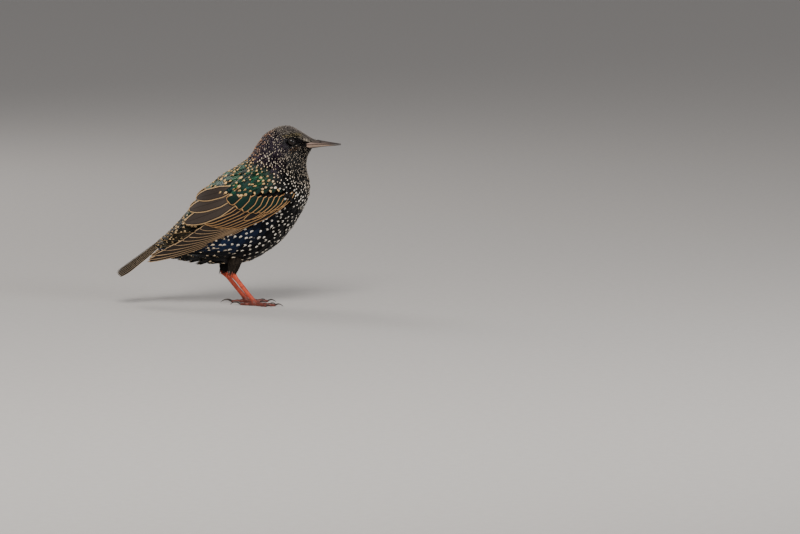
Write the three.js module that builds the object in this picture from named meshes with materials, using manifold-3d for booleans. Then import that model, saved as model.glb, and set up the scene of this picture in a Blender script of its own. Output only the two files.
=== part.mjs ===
// A common starling in fresh winter plumage, standing on level ground, life size.
// Millimetres: +X is the way the bird faces, +Y its left side, +Z up.
// The origin is on the ground under the middle of the bird's length.
import * as THREE from "three";
import { mergeVertices } from "three/addons/utils/BufferGeometryUtils.js";
import Module from "manifold-3d";

const wasm = await Module();
wasm.setup();

// Driving dimensions
const GAP = 0.3; // left between two parts that touch
const SIDES = { right: -1, left: 1 }; // the sign of Y on each side of the bird

// Head, neck and trunk. Each station is a slanting section from the back line to the belly line, given as
// [x, z]. half is its half width, and widest is how far down the section that is.
const BODY = [
  { at: "bill base", back: [75.0, 136.6], belly: [70.2, 129.4], half: 2.9, widest: 0.5 },
  { at: "lore", back: [68.0, 139.2], belly: [67.4, 126.0], half: 4.7, widest: 0.52 },
  { at: "brow", back: [59.3, 144.6], belly: [65.6, 121.6], half: 8.9, widest: 0.47 },
  { at: "crown", back: [50.2, 148.6], belly: [65.0, 116.8], half: 12.0, widest: 0.44 },
  { at: "hind crown", back: [40.3, 147.3], belly: [65.3, 112.0], half: 13.6, widest: 0.44 },
  { at: "occiput", back: [31.1, 141.8], belly: [66.4, 107.1], half: 14.9, widest: 0.46 },
  { at: "nape", back: [24.1, 133.4], belly: [67.5, 102.0], half: 16.8, widest: 0.5 },
  { at: "hind neck", back: [17.8, 123.6], belly: [67.7, 96.2], half: 19.8, widest: 0.54 },
  { at: "mantle", back: [8.6, 115.9], belly: [66.2, 88.2], half: 23.2, widest: 0.54 },
  { at: "shoulder", back: [-3.7, 108.8], belly: [61.2, 77.6], half: 25.8, widest: 0.52 },
  { at: "back", back: [-17.8, 97.4], belly: [53.0, 64.2], half: 26.6, widest: 0.5 },
  { at: "loin", back: [-29.5, 83.0], belly: [40.0, 49.6], half: 25.4, widest: 0.5 },
  { at: "rump", back: [-41.1, 69.6], belly: [16.5, 36.6], half: 21.2, widest: 0.5 },
  { at: "vent", back: [-50.4, 60.2], belly: [-18.0, 36.2], half: 15.0, widest: 0.5 },
  { at: "undertail", back: [-56.8, 54.6], belly: [-38.6, 38.2], half: 10.8, widest: 0.46 },
  { at: "tail base", back: [-61.8, 50.2], belly: [-51.6, 41.2], half: 8.4, widest: 0.42 },
];
const FLANK_ROUNDNESS = 0.9; // 1 is an ellipse, and less is fuller
const BODY_SIDES = 28;
const RINGS_PER_STATION = 3;
const NECK = { from: 4.95, to: 7.7 }; // where the neck meets the head and the trunk, in stations

const BILL = {
  gape: [62.6, 132.9], // the corner of the mouth, on the cheek
  culmen: [74.6, 137.0], // where the ridge leaves the feathers
  chin: [69.0, 129.6],
  tip: [93.4, 133.2],
  gonys: 0.32, // how far along the lower bill turns up to its tip
  gonysZ: 130.9,
  half: 5.5, // half width across the corners of the mouth
  tipHalf: 0.3,
  tipUp: 0.5, // the ridge ends this far over the mouth's line
  tipDown: 0.75, // and the lower edge this far under it
  socketBack: 5.5, // the socket's corner of the mouth moves back this much for each unit it grows
  sides: 12,
  rings: 8,
  nostril: { x: 76.4, z: 135.3, length: 3.0, height: 0.8, depth: 1.3 },
};
const EYE = { x: 53.0, z: 136.4, radius: 3.6, sunk: 2.2, lidRadius: 2.9, lidThickness: 0.75 };

// A folded wing is drawn on a curved sheet beside the trunk. along runs from the wrist to the wing tip, and
// up runs across it.
const WING = {
  wrist: [46.7, 93.4],
  slope: 26.2, // degrees that the wing runs down to its tip
  breadthStep: 18,
  breadth: [24.4, 27.4, 27.8, 26.2, 22.6, 19.0, 16.4, 14.8, 13.8], // half breadth at each step along
  crestUp: 2, // where across the wing the sheet stands out furthest
  curlDown: [0.012, 0.02], // how fast the sheet turns in below that, at the arm and at the tip
  curlUp: [0.009, 0.034], // and above it
  curlFrom: 36,
  curlTo: 80,
};
// Each row of feathers goes from its first feather to its last. Roots and tips are [along, up] on the wing's
// sheet. lift is the height over the sheet, and bow how far the shaft's middle bends down.
const WING_ROWS = [
  {
    name: "primaries",
    count: 8,
    roots: [[4, -3.6], [34, 0]],
    tips: [[126, -0.6], [120, 1.2], [109.6, 2], [99.5, 2.1], [92, 2.6], [86, 3.4], [80, 4.4], [74, 5]],
    bow: [4.2, 1.2],
    width: [9.4, 9.4],
    lift: [0.2, 1.9],
    pointed: 0.75,
    rings: 5,
  },
  {
    name: "secondaries",
    count: 6,
    roots: [[12, 0.5], [40, 8]],
    tips: [[57, -1.9], [60.5, -1.0], [63.5, 0], [66, 1], [68, 2], [70, 3.6]],
    bow: [2.6, 1.2],
    width: [9, 10],
    lift: [2.1, 2.8],
    pointed: 0.35,
    rings: 3,
  },
  {
    name: "tertials",
    count: 3,
    roots: [[38, 12], [33, 22]],
    tips: [[83, 13.2], [75.4, 20], [65.4, 25.6]],
    bow: [0.6, -0.6],
    width: [12, 11],
    lift: [3.0, 3.8],
    pointed: 0.3,
    rings: 4,
  },
  {
    name: "primary coverts",
    count: 4,
    roots: [[2, -2.6], [16, -1.4]],
    tips: [[20, -6.3], [26.5, -5.7], [32.5, -4.8], [38, -3.6]],
    bow: [1, 0.4],
    width: [4.4, 5],
    lift: [2.3, 2.7],
    pointed: 0.6,
    rings: 2,
  },
  {
    name: "greater coverts",
    count: 8,
    roots: [[-7, 0.8], [9, 4.6], [21, 9], [30, 20]],
    tips: [
      [6.4, -3.4], [13, -4.7], [19, -3.4], [24.6, -1.4],
      [30, 0.8], [34.6, 3.2], [38.8, 7], [43.8, 13.4],
    ],
    bow: [1.2, 0.8],
    width: [6.4, 8.4],
    lift: [3.0, 4.2],
    pointed: 0.2,
    rings: 3,
  },
  {
    name: "median coverts",
    count: 6,
    roots: [[-3.4, 9], [20, 22]],
    tips: [[3.4, 4.6], [9.6, 7.3], [15.6, 9.7], [21.6, 11.7], [27.8, 13.3], [34, 15.6]],
    bow: [0.6, 0.4],
    width: [6.6, 7],
    lift: [3.6, 4.6],
    pointed: 0.2,
    rings: 3,
  },
];
const ALULA = { root: [-1.5, 0.5], tip: [15, -5.9], bow: 1, width: 4, lift: 2.8, pointed: 0.5, rings: 3 };
// The arm, which the roots are set in
const ARM = { from: [-4.5, 1.5], to: [52, 9], width: 25, depth: 9, lift: 3.1, sides: 12, rings: 6 };
const VANE_THICKNESS = 0.6;

const TAIL = {
  root: [-56.5, 54.2],
  tip: [-93.1, 27.4],
  pairs: 6,
  rootSpread: 0.8, // between neighbouring shafts
  tipSpread: 1.7,
  width: 10.5,
  roof: 0.02, // how fast the closed tail falls away on both sides of its middle
  pitch: 0.55, // each pair lies this far under the one inside it
  notch: 1.2, // how much shorter the middle pair is
  thickness: 0.6,
  rings: 4,
  core: { length: 13, halfWidth: 7.2, depth: 7.4 },
};

const LEGS = {
  right: { ankle: [2.9, 9.6, 27.0], foot: [21.6, 11.6, 3.0], knee: [12, 9, 44], turn: 16 },
  left: { ankle: [-4.8, 9.6, 26.6], foot: [13.9, 11.6, 3.0], knee: [5, 9, 44], turn: 4 },
};
const SHANK = { deep: 1.75, wide: 1.2, joint: 1.45, sides: 10, rings: 9 };
const THIGH = { top: 8.6, bottom: 3.0, sides: 14, rings: 5 };
// The toes of a foot: reach is without the claw, heading is in degrees away from the body's middle.
const TOES = {
  middle: { reach: 18.5, heading: 0, radius: 1.55, claw: 6.5 },
  inner: { reach: 13.2, heading: -27, radius: 1.4, claw: 5.5 },
  outer: { reach: 13.8, heading: 25, radius: 1.4, claw: 5.3 },
  hind: { reach: 12.0, heading: 180, radius: 1.6, claw: 9.0 },
};
const TOE = { startsAt: 1.6, baseZ: 1.4, tipZ: 0.85, taper: 0.74, knuckle: 0.14, sides: 8, rings: 5 };
const CLAW = { radius: 0.95, point: 0.16, rise: 0.42, tipZ: 0.35, sides: 6, rings: 5 };

const COLOURS = {
  plumage: { color: 0x14171a, roughness: 0.45, metalness: 0.1 },
  flight: { color: 0x4a3a2e, roughness: 0.6, metalness: 0 },
  horn: { color: 0x6a5a50, roughness: 0.4, metalness: 0 },
  legs: { color: 0xb2452f, roughness: 0.5, metalness: 0 },
  claws: { color: 0x2a211e, roughness: 0.4, metalness: 0 },
  eyes: { color: 0x0c0806, roughness: 0.08, metalness: 0 },
};

// Small helpers
const mix = THREE.MathUtils.lerp;
const between = (list, share) => {
  const at = share * (list.length - 1);
  const low = Math.min(Math.floor(at), list.length - 2);
  return mix(list[low], list[low + 1], at - low);
};
const pointBetween = (list, share) => [0, 1].map((k) => between(list.map((p) => p[k]), share));

// A closed solid from rings of points, each ring going the same way round, with a flat cap at both ends.
function loft(rings) {
  const sides = rings[0].length;
  const position = rings.flat().flatMap((p) => [p.x, p.y, p.z]);
  const index = [];
  for (let r = 0; r + 1 < rings.length; r++) {
    for (let s = 0; s < sides; s++) {
      const a = r * sides + s;
      const b = r * sides + ((s + 1) % sides);
      index.push(a, b, a + sides, b, b + sides, a + sides);
    }
  }
  const last = (rings.length - 1) * sides;
  for (let s = 1; s + 1 < sides; s++) {
    index.push(0, s + 1, s);
    index.push(last, last + s, last + s + 1);
  }
  const geometry = new THREE.BufferGeometry();
  geometry.setAttribute("position", new THREE.Float32BufferAttribute(position, 3));
  geometry.setIndex(index);
  return geometry;
}

// A three.js geometry as a solid that can be cut and joined, turned inside out if its faces point inwards.
function solid(geometry) {
  const bare = geometry.clone();
  bare.deleteAttribute("normal");
  bare.deleteAttribute("uv");
  const merged = mergeVertices(bare, 1e-4);
  const triVerts = new Uint32Array(merged.index.array);
  const vertProperties = merged.attributes.position.array;
  let made = new wasm.Manifold(new wasm.Mesh({ numProp: 3, vertProperties, triVerts }));
  if (made.volume() < 0) {
    const turned = triVerts.map((v, i) => triVerts[i - (i % 3) + [0, 2, 1][i % 3]]);
    made = new wasm.Manifold(new wasm.Mesh({ numProp: 3, vertProperties, triVerts: turned }));
  }
  return made;
}

// Only the largest closed surface of a solid, which drops loose scraps and fills sealed hollows.
function largest(made) {
  return made.decompose().reduce((a, b) => (a.volume() > b.volume() ? a : b));
}

function mesh(name, made, look) {
  const tidy = look === "flight" ? 0.06 : 0.03; // details smaller than this are merged after the unions
  const whole = largest(made.simplify(tidy)).getMesh();
  const geometry = new THREE.BufferGeometry();
  geometry.setAttribute("position", new THREE.Float32BufferAttribute(whole.vertProperties, 3));
  geometry.setIndex(Array.from(whole.triVerts));
  geometry.computeVertexNormals();
  const made3 = new THREE.Mesh(geometry, new THREE.MeshStandardMaterial(COLOURS[look]));
  made3.name = name;
  return made3;
}

const mirrored = (made) => made.mirror([0, 1, 0]);

// Head, neck and trunk as one body
const spline = (points) => new THREE.CatmullRomCurve3(points, false, "catmullrom", 0.5);
const backLine = spline(BODY.map((s) => new THREE.Vector3(s.back[0], 0, s.back[1])));
const bellyLine = spline(BODY.map((s) => new THREE.Vector3(s.belly[0], 0, s.belly[1])));
const widths = spline(BODY.map((s) => new THREE.Vector3(s.half, s.widest, 0)));

// A ring of the body at a station, grown outwards by extra.
function bodyRing(station, extra = 0) {
  const t = station / (BODY.length - 1);
  const back = backLine.getPoint(t);
  const down = bellyLine.getPoint(t).sub(back);
  const { x: half, y: widest } = widths.getPoint(t);
  const grown = extra / down.length();
  const ring = [];
  for (let i = 0; i < BODY_SIDES; i++) {
    const angle = (2 * Math.PI * i) / BODY_SIDES;
    const even = (1 - Math.cos(angle)) / 2;
    const share = even + 4 * (widest - 0.5) * even * (1 - even);
    const out = Math.sin(angle);
    const p = back.clone().addScaledVector(down, mix(-grown, 1 + grown, share));
    p.y = (half + extra) * Math.sign(out) * Math.abs(out) ** FLANK_ROUNDNESS;
    ring.push(p);
  }
  return ring;
}

function bodySolid(extra = 0) {
  const last = BODY.length - 1;
  const rings = [];
  for (let i = 0; i <= last * RINGS_PER_STATION; i++) {
    rings.push(bodyRing(i / RINGS_PER_STATION, extra));
  }
  return solid(loft(rings));
}

// The plane of a body section. Its normal points back along the bird, and offset is how far it is from the
// origin.
function sectionPlane(station) {
  const t = station / (BODY.length - 1);
  const back = backLine.getPoint(t);
  const down = bellyLine.getPoint(t).sub(back);
  const normal = new THREE.Vector3(0, 1, 0).cross(down).normalize();
  if (normal.x > 0 && station > 8) normal.negate();
  const behind = backLine.getPoint(Math.min(1, t + 0.01)).sub(back);
  if (normal.dot(behind) < 0) normal.negate();
  return { normal: normal.toArray(), offset: normal.dot(back) };
}
const opposite = (normal) => normal.map((n) => -n);

function bodyParts() {
  const whole = bodySolid();
  const head = sectionPlane(NECK.from);
  const trunk = sectionPlane(NECK.to);
  return {
    head: whole.trimByPlane(opposite(head.normal), -head.offset + GAP / 2),
    neck: whole
      .trimByPlane(head.normal, head.offset + GAP / 2)
      .trimByPlane(opposite(trunk.normal), -trunk.offset + GAP / 2),
    torso: whole.trimByPlane(trunk.normal, trunk.offset + GAP / 2),
  };
}

// Half the body's breadth at a point of its side view, found between the two sections on either side of it.
function breadthAt(x, z, from, to) {
  const across = (station) => {
    const t = station / (BODY.length - 1);
    const back = backLine.getPoint(t);
    const down = bellyLine.getPoint(t).sub(back);
    return { back, down, side: down.x * (z - back.z) - down.z * (x - back.x) };
  };
  let [low, high] = [from, to];
  const start = Math.sign(across(low).side);
  for (let i = 0; i < 30; i++) {
    const middle = (low + high) / 2;
    if (Math.sign(across(middle).side) === start) low = middle;
    else high = middle;
  }
  const { back, down } = across(low);
  const share = ((x - back.x) * down.x + (z - back.z) * down.z) / down.lengthSq();
  const { x: half, y: widest } = widths.getPoint(low / (BODY.length - 1));
  const skew = 4 * (widest - 0.5);
  let even = share;
  for (let i = 0; i < 20; i++) even = share - skew * even * (1 - even);
  return half * Math.sqrt(Math.max(0, 1 - (1 - 2 * even) ** 2)) ** FLANK_ROUNDNESS;
}

// Eyes and lids
function eyeParts() {
  const y = breadthAt(EYE.x, EYE.z, 1, 5);
  const step = 0.5;
  const outward = new THREE.Vector3(
    (breadthAt(EYE.x - step, EYE.z, 1, 5) - breadthAt(EYE.x + step, EYE.z, 1, 5)) / (2 * step),
    1,
    (breadthAt(EYE.x, EYE.z - step, 1, 5) - breadthAt(EYE.x, EYE.z + step, 1, 5)) / (2 * step),
  ).normalize();
  const surface = new THREE.Vector3(EYE.x, y, EYE.z);
  const centre = surface.clone().addScaledVector(outward, -EYE.sunk);
  const turn = new THREE.Quaternion().setFromUnitVectors(new THREE.Vector3(0, 0, 1), outward);
  const placed = (geometry, at) => {
    geometry.applyQuaternion(turn);
    return solid(geometry.translate(at.x, at.y, at.z));
  };
  const ball = (radius) => placed(new THREE.SphereGeometry(radius, 14, 8), centre);
  const lids = placed(new THREE.TorusGeometry(EYE.lidRadius, EYE.lidThickness, 6, 18), surface);
  return { left: ball(EYE.radius), socket: ball(EYE.radius + GAP), lids };
}

// The bill: an upper and a lower half with the line of the mouth between them. Each section slants forward
// from the mouth to the ridge, as the edge of the feathers does. The half grows outwards by extra.
function billHalf(upper, extra = 0) {
  const rings = [];
  const base = upper ? BILL.culmen : BILL.chin;
  for (let r = 0; r <= BILL.rings; r++) {
    const q = (r / BILL.rings) ** 0.9;
    const ridgeX = mix(base[0], BILL.tip[0], q) - extra;
    const mouthX = mix(BILL.gape[0], BILL.tip[0], q) - BILL.socketBack * extra;
    const edge = mix(BILL.gape[1], BILL.tip[1], q) + (upper ? GAP / 2 - extra : extra - GAP / 2);
    const rise = upper ? mix(base[1], BILL.tip[1] + BILL.tipUp, q ** 0.85) + extra : lowerRidge(q) - extra;
    const half = billWidth(q) + extra;
    const ring = [];
    for (let s = 0; s < BILL.sides; s++) {
      const angle = (Math.PI * s) / (BILL.sides - 1);
      const lifted = Math.abs(Math.sin(angle)) ** 0.8;
      const [x, z] = [mix(mouthX, ridgeX, lifted), mix(edge, rise, lifted)];
      ring.push(new THREE.Vector3(x, half * Math.cos(angle), z));
    }
    rings.push(ring);
  }
  return solid(loft(rings));
}
const billWidth = (q) => (BILL.half - BILL.tipHalf) * (1 - q) ** 1.15 + BILL.tipHalf;
function lowerRidge(q) {
  if (q < BILL.gonys) return mix(BILL.chin[1], BILL.gonysZ, q / BILL.gonys);
  return mix(BILL.gonysZ, BILL.tip[1] - BILL.tipDown, (q - BILL.gonys) / (1 - BILL.gonys));
}
function nostrils() {
  const { x, z, length, height, depth } = BILL.nostril;
  const q = (x - BILL.culmen[0]) / (BILL.tip[0] - BILL.culmen[0]) + 0.16;
  const hollow = new THREE.SphereGeometry(1, 10, 6).scale(length / 2, depth / 2, height / 2);
  const one = solid(hollow.rotateY(0.16).translate(x, billWidth(q) * 0.72, z));
  return one.add(mirrored(one));
}

// The sheet that a folded wing lies on, for the left side
const slope = THREE.MathUtils.degToRad(WING.slope);
function sheetPoint(along, up, lift) {
  const y = (a, b) => {
    const share = a / (WING.breadthStep * (WING.breadth.length - 1));
    const crest = breadthLine.getPoint(THREE.MathUtils.clamp(share, 0, 1)).x;
    const ends = b > WING.crestUp ? WING.curlUp : WING.curlDown;
    const curl = mix(...ends, THREE.MathUtils.smoothstep(a, WING.curlFrom, WING.curlTo));
    return crest - curl * (b - WING.crestUp) ** 2;
  };
  const step = 0.5;
  const leanAlong = (y(along + step, up) - y(along - step, up)) / (2 * step);
  const leanUp = (y(along, up + step) - y(along, up - step)) / (2 * step);
  const length = Math.hypot(leanAlong, leanUp, 1);
  const a = along - (lift * leanAlong) / length;
  const b = up - (lift * leanUp) / length;
  return new THREE.Vector3(
    WING.wrist[0] - a * Math.cos(slope) - b * Math.sin(slope),
    y(along, up) + lift / length,
    WING.wrist[1] - a * Math.sin(slope) + b * Math.cos(slope),
  );
}
const breadthLine = spline(WING.breadth.map((b) => new THREE.Vector3(b, 0, 0)));

// How wide a feather is at q along it, from 0 at its root to 1 at its tip.
function vaneWidth(q, pointed) {
  const root = mix(0.45, 1, Math.min(1, q / 0.35));
  const from = mix(0.82, 0.5, pointed);
  if (q < from) return root;
  const end = (q - from) / (1 - from);
  return root * Math.max(0.16, Math.sqrt(Math.max(0, 1 - end ** 2)) * mix(1, 1 - 0.45 * end, pointed));
}

// One feather as a thin plate, split alike above and below. place turns a length along it, a distance across
// it and a height into a point.
function vane(rings, thickness, pointed, place) {
  const made = [];
  for (let r = 0; r <= rings; r++) {
    const q = (r / rings) ** 0.8;
    const wide = vaneWidth(q, pointed) / 2;
    const thin = mix(thickness, thickness * 0.8, q);
    made.push([place(q, -wide, 0), place(q, wide, 0), place(q, wide, -thin), place(q, -wide, -thin)]);
  }
  return solid(loft(made));
}

function wingVane({ root, tip, bow, width, lift, pointed, rings }) {
  const [da, db] = [tip[0] - root[0], tip[1] - root[1]];
  const length = Math.hypot(da, db);
  return vane(rings, VANE_THICKNESS, pointed, (q, across, height) => {
    const sag = -4 * bow * q * (1 - q);
    const turn = (-4 * bow * (1 - 2 * q)) / length;
    const [sideA, sideB] = [-db / length - (turn * da) / length, da / length - (turn * db) / length];
    const along = root[0] + da * q + (sag * -db) / length + sideA * across * width;
    const up = root[1] + db * q + (sag * da) / length + sideB * across * width;
    return sheetPoint(along, up, lift + height);
  });
}

function wingFeathers() {
  const feathers = [wingVane(ALULA)];
  for (const row of WING_ROWS) {
    for (let i = 0; i < row.count; i++) {
      const share = i / (row.count - 1);
      const root = pointBetween(row.roots, share);
      const [bow, width, lift] = [row.bow, row.width, row.lift].map((ends) => between(ends, share));
      feathers.push(wingVane({ ...row, root, tip: row.tips[i], bow, width, lift }));
    }
  }
  return feathers;
}

// The arm and hand under the coverts, deep enough to reach the trunk.
function wingArm() {
  const rings = [];
  for (let r = 0; r <= ARM.rings; r++) {
    const q = r / ARM.rings;
    const [a, b] = [mix(ARM.from[0], ARM.to[0], q), mix(ARM.from[1], ARM.to[1], q)];
    const full = Math.sqrt(Math.max(0.02, 1 - (2 * q - 1) ** 2));
    const ring = [];
    for (let s = 0; s < ARM.sides; s++) {
      const angle = (2 * Math.PI * s) / ARM.sides;
      const height = Math.sin(angle) > 0 ? ARM.lift * full * Math.sin(angle) : ARM.depth * Math.sin(angle);
      ring.push(sheetPoint(a, b + (ARM.width / 2) * full * Math.cos(angle), height));
    }
    rings.push(ring);
  }
  return solid(loft(rings));
}

function wing(trunk) {
  return wasm.Manifold.union([wingArm(), ...wingFeathers()]).subtract(trunk);
}

// The tail: each feather lies on one roof-shaped sheet, a step under its inner neighbour
function tailPlace(along, across, height) {
  const [x0, z0] = TAIL.root;
  const [dx, dz] = [TAIL.tip[0] - x0, TAIL.tip[1] - z0];
  const length = Math.hypot(dx, dz);
  const h = height - TAIL.roof * across ** 2;
  return new THREE.Vector3(x0 + (dx * along + dz * h) / length, across, z0 + (dz * along - dx * h) / length);
}
function tailFeathers() {
  const length = Math.hypot(TAIL.tip[0] - TAIL.root[0], TAIL.tip[1] - TAIL.root[1]);
  const feathers = [];
  for (const side of [-1, 1]) {
    for (let pair = 0; pair < TAIL.pairs; pair++) {
      const at = side * (pair + 0.5);
      const own = length - (pair === 0 ? TAIL.notch : 0) - (pair > 3 ? 0.6 * (pair - 3) : 0);
      const under = -TAIL.pitch * (pair + (side > 0 ? 0.4 : 0));
      feathers.push(
        vane(TAIL.rings, TAIL.thickness, 0.15, (q, across, height) => {
          const shaft = at * mix(TAIL.rootSpread, TAIL.tipSpread, q);
          return tailPlace(own * q, shaft + across * TAIL.width, under + height);
        }),
      );
    }
  }
  return feathers;
}
function tailCore() {
  const rings = [];
  const sides = 16;
  for (let r = 0; r <= 4; r++) {
    const q = r / 4;
    const shrink = mix(1, 0.55, q ** 2);
    const ring = [];
    for (let s = 0; s < sides; s++) {
      const angle = (2 * Math.PI * s) / sides;
      const up = Math.sin(angle) > 0 ? 0.35 * Math.sin(angle) : TAIL.core.depth * shrink * Math.sin(angle);
      const across = TAIL.core.halfWidth * shrink * Math.cos(angle);
      ring.push(tailPlace(TAIL.core.length * q, across, up - 0.4));
    }
    rings.push(ring);
  }
  return solid(loft(rings));
}

// Legs
function tube(centres, radii, sides, across = new THREE.Vector3(0, 1, 0)) {
  return solid(
    loft(
      centres.map((c, i) => {
        const before = centres[Math.max(0, i - 1)];
        const after = centres[Math.min(centres.length - 1, i + 1)];
        const ahead = after.clone().sub(before).normalize();
        const deep = ahead.clone().cross(across).normalize();
        const wide = deep.clone().cross(ahead);
        const [rDeep, rWide] = radii(i / (centres.length - 1));
        return Array.from({ length: sides }, (_, s) => {
          const angle = (2 * Math.PI * s) / sides;
          return c
            .clone()
            .addScaledVector(deep, rDeep * Math.cos(angle))
            .addScaledVector(wide, rWide * Math.sin(angle));
        });
      }),
    ),
  );
}
const line = (from, to, steps) =>
  Array.from({ length: steps + 1 }, (_, i) => from.clone().lerp(to, i / steps));

function shank({ ankle, foot }, extra = 0) {
  const [top, bottom] = [new THREE.Vector3(...ankle), new THREE.Vector3(...foot)];
  const ahead = bottom.clone().sub(top).normalize();
  top.addScaledVector(ahead, -SHANK.joint - extra);
  bottom.addScaledVector(ahead, extra);
  return tube(
    line(top, bottom, SHANK.rings),
    (q) => {
      const joint = Math.min(1, Math.sqrt(q * 9 + 0.2)) * Math.exp(-(((q - 0.05) / 0.12) ** 2));
      const knob = SHANK.joint * joint + 0.5 * Math.exp(-(((1 - q) / 0.12) ** 2));
      return [SHANK.deep + knob * 0.8 + extra, SHANK.wide + knob * 0.75 + extra];
    },
    SHANK.sides,
  );
}
function thigh({ ankle, knee }) {
  const bottom = new THREE.Vector3(...ankle);
  const top = new THREE.Vector3(...knee);
  const up = top.clone().sub(bottom).normalize();
  bottom.addScaledVector(up, 1.2);
  const centres = line(bottom, top, THIGH.rings);
  return tube(
    centres,
    (q) => {
      const radius = mix(THIGH.bottom, THIGH.top, Math.min(1, q * 1.1) ** 0.8);
      return [radius, radius * 0.86];
    },
    THIGH.sides,
  );
}

// A toe's own line: forward is along its heading, and heights are above the ground.
function toeLine(leg, toe, reachFrom, reachTo, heightAt, steps) {
  const heading = THREE.MathUtils.degToRad(leg.turn + toe.heading);
  const [x, y] = leg.foot;
  return Array.from({ length: steps + 1 }, (_, i) => {
    const q = i / steps;
    const reach = mix(reachFrom, reachTo, q);
    return new THREE.Vector3(x + reach * Math.cos(heading), y + reach * Math.sin(heading), heightAt(q));
  });
}
function toeSolid(leg, toe, extra = 0) {
  const height = (q) => mix(TOE.baseZ, TOE.tipZ, q ** 0.7);
  const centres = toeLine(leg, toe, -TOE.startsAt, toe.reach + extra, height, TOE.rings);
  return tube(
    centres,
    (q) => {
      const radius = toe.radius * mix(1, TOE.taper, q) * (1 + TOE.knuckle * Math.cos(q * 3 * 2 * Math.PI));
      return [radius + extra, radius + extra];
    },
    TOE.sides,
  );
}
function foot(leg) {
  const [x, y, z] = leg.foot;
  const ball = solid(new THREE.SphereGeometry(1, 12, 8).scale(2.8, 2.5, 2.3).translate(x, y, z - 1.1));
  const toes = Object.values(TOES).map((toe) => toeSolid(leg, toe));
  const joined = wasm.Manifold.union([ball, ...toes]).trimByPlane([0, 0, 1], 0);
  return joined.subtract(shank(leg, GAP));
}
function claw(leg, toe) {
  const centres = toeLine(leg, toe, toe.reach - 0.6, toe.reach + toe.claw, (q) => {
    const top = TOE.tipZ + CLAW.rise * toe.claw;
    return (1 - q) ** 2 * TOE.tipZ + 2 * q * (1 - q) * top + q ** 2 * CLAW.tipZ;
  }, CLAW.rings);
  const girth = Math.sqrt(toe.claw / TOES.hind.claw) * CLAW.radius;
  return tube(
    centres,
    (q) => {
      const radius = mix(girth, CLAW.point, q ** 1.3);
      return [radius, radius * 0.72];
    },
    CLAW.sides,
  ).subtract(toeSolid(leg, toe, GAP));
}

// Putting the bird together
const starling = new THREE.Group();
const grownBody = bodySolid(GAP);
const parts = bodyParts();
const eyes = eyeParts();
const bothEyes = (made) => made.add(mirrored(made));

const grownBill = billHalf(true, GAP).add(billHalf(false, GAP));
const head = parts.head.subtract(grownBill).add(bothEyes(eyes.lids)).subtract(bothEyes(eyes.socket));
starling.add(mesh("head", head, "plumage"));
starling.add(mesh("neck", parts.neck, "plumage"));
starling.add(mesh("torso", parts.torso, "plumage"));
starling.add(mesh("upper_bill", billHalf(true).subtract(nostrils()), "horn"));
starling.add(mesh("lower_bill", billHalf(false), "horn"));
const tail = wasm.Manifold.union([tailCore(), ...tailFeathers()]).subtract(grownBody);
starling.add(mesh("tail", tail, "flight"));

const leftWing = wing(grownBody);
for (const [side, sign] of Object.entries(SIDES)) {
  const place = (made) => (sign > 0 ? made : mirrored(made));
  starling.add(mesh(`${side}_eye`, place(eyes.left), "eyes"));
  starling.add(mesh(`${side}_wing`, place(leftWing), "flight"));
  const leg = LEGS[side];
  const free = thigh(leg).subtract(grownBody).subtract(shank(leg, GAP));
  starling.add(mesh(`${side}_thigh`, place(free), "plumage"));
  starling.add(mesh(`${side}_shank`, place(shank(leg)), "legs"));
  starling.add(mesh(`${side}_foot`, place(foot(leg)), "legs"));
  for (const [name, toe] of Object.entries(TOES)) {
    starling.add(mesh(`${side}_${name}_claw`, place(claw(leg, toe)), "claws"));
  }
}

export default starling;
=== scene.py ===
# %% [markdown]
# # A starling in winter plumage
#
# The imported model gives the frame: every part of the bird sits where its solid sits. The flesh becomes one
# skin, the skin is covered with feathers that follow it, and the wings and the tail get their long feathers
# one by one. Bill, eyes, legs and claws are drawn again, finer. Lengths are in millimetres until a mesh is
# made.

# %% Load the frame
import math

import bpy
import numpy as np
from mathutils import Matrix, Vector, kdtree


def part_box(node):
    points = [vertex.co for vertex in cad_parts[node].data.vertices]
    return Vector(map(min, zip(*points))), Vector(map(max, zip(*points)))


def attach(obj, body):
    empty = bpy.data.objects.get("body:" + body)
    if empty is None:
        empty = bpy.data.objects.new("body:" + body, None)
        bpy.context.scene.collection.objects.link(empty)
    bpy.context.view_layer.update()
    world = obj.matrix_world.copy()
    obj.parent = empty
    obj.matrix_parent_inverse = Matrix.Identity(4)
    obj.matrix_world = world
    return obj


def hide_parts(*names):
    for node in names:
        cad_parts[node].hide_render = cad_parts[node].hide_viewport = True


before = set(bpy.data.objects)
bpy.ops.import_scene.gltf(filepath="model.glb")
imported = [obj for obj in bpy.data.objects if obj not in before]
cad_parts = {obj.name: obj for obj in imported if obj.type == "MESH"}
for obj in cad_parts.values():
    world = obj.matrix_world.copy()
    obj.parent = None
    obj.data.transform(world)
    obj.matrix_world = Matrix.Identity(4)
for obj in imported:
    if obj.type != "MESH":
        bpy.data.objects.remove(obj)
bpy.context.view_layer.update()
rng = np.random.default_rng(7)
MM = 0.001
SIDES = {"right": -1, "left": 1}
LEFTWARDS = np.array([0.0, 1.0, 0.0])

# %% [markdown]
# ## Camera
#
# The bird is seen from its right side with a long lens, from a little above. A long lens far away keeps the
# bill and the tail at one scale, as a bird photographer's lens does.

# %% Camera
def new_object(name, data):
    """An object that holds the data and stands in the scene."""
    made = bpy.data.objects.new(name, data)
    scene.collection.objects.link(made)
    return made


VIEW_DISTANCE = 4.0
VIEW_HEIGHT = 6.5  # degrees above the horizon
VIEW_WIDTH = 0.664  # of the whole picture at the bird, in metres
SENSOR_WIDTH = 36
LOOK_AT = Vector((0.1423, 0.0, 0.0309))

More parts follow.
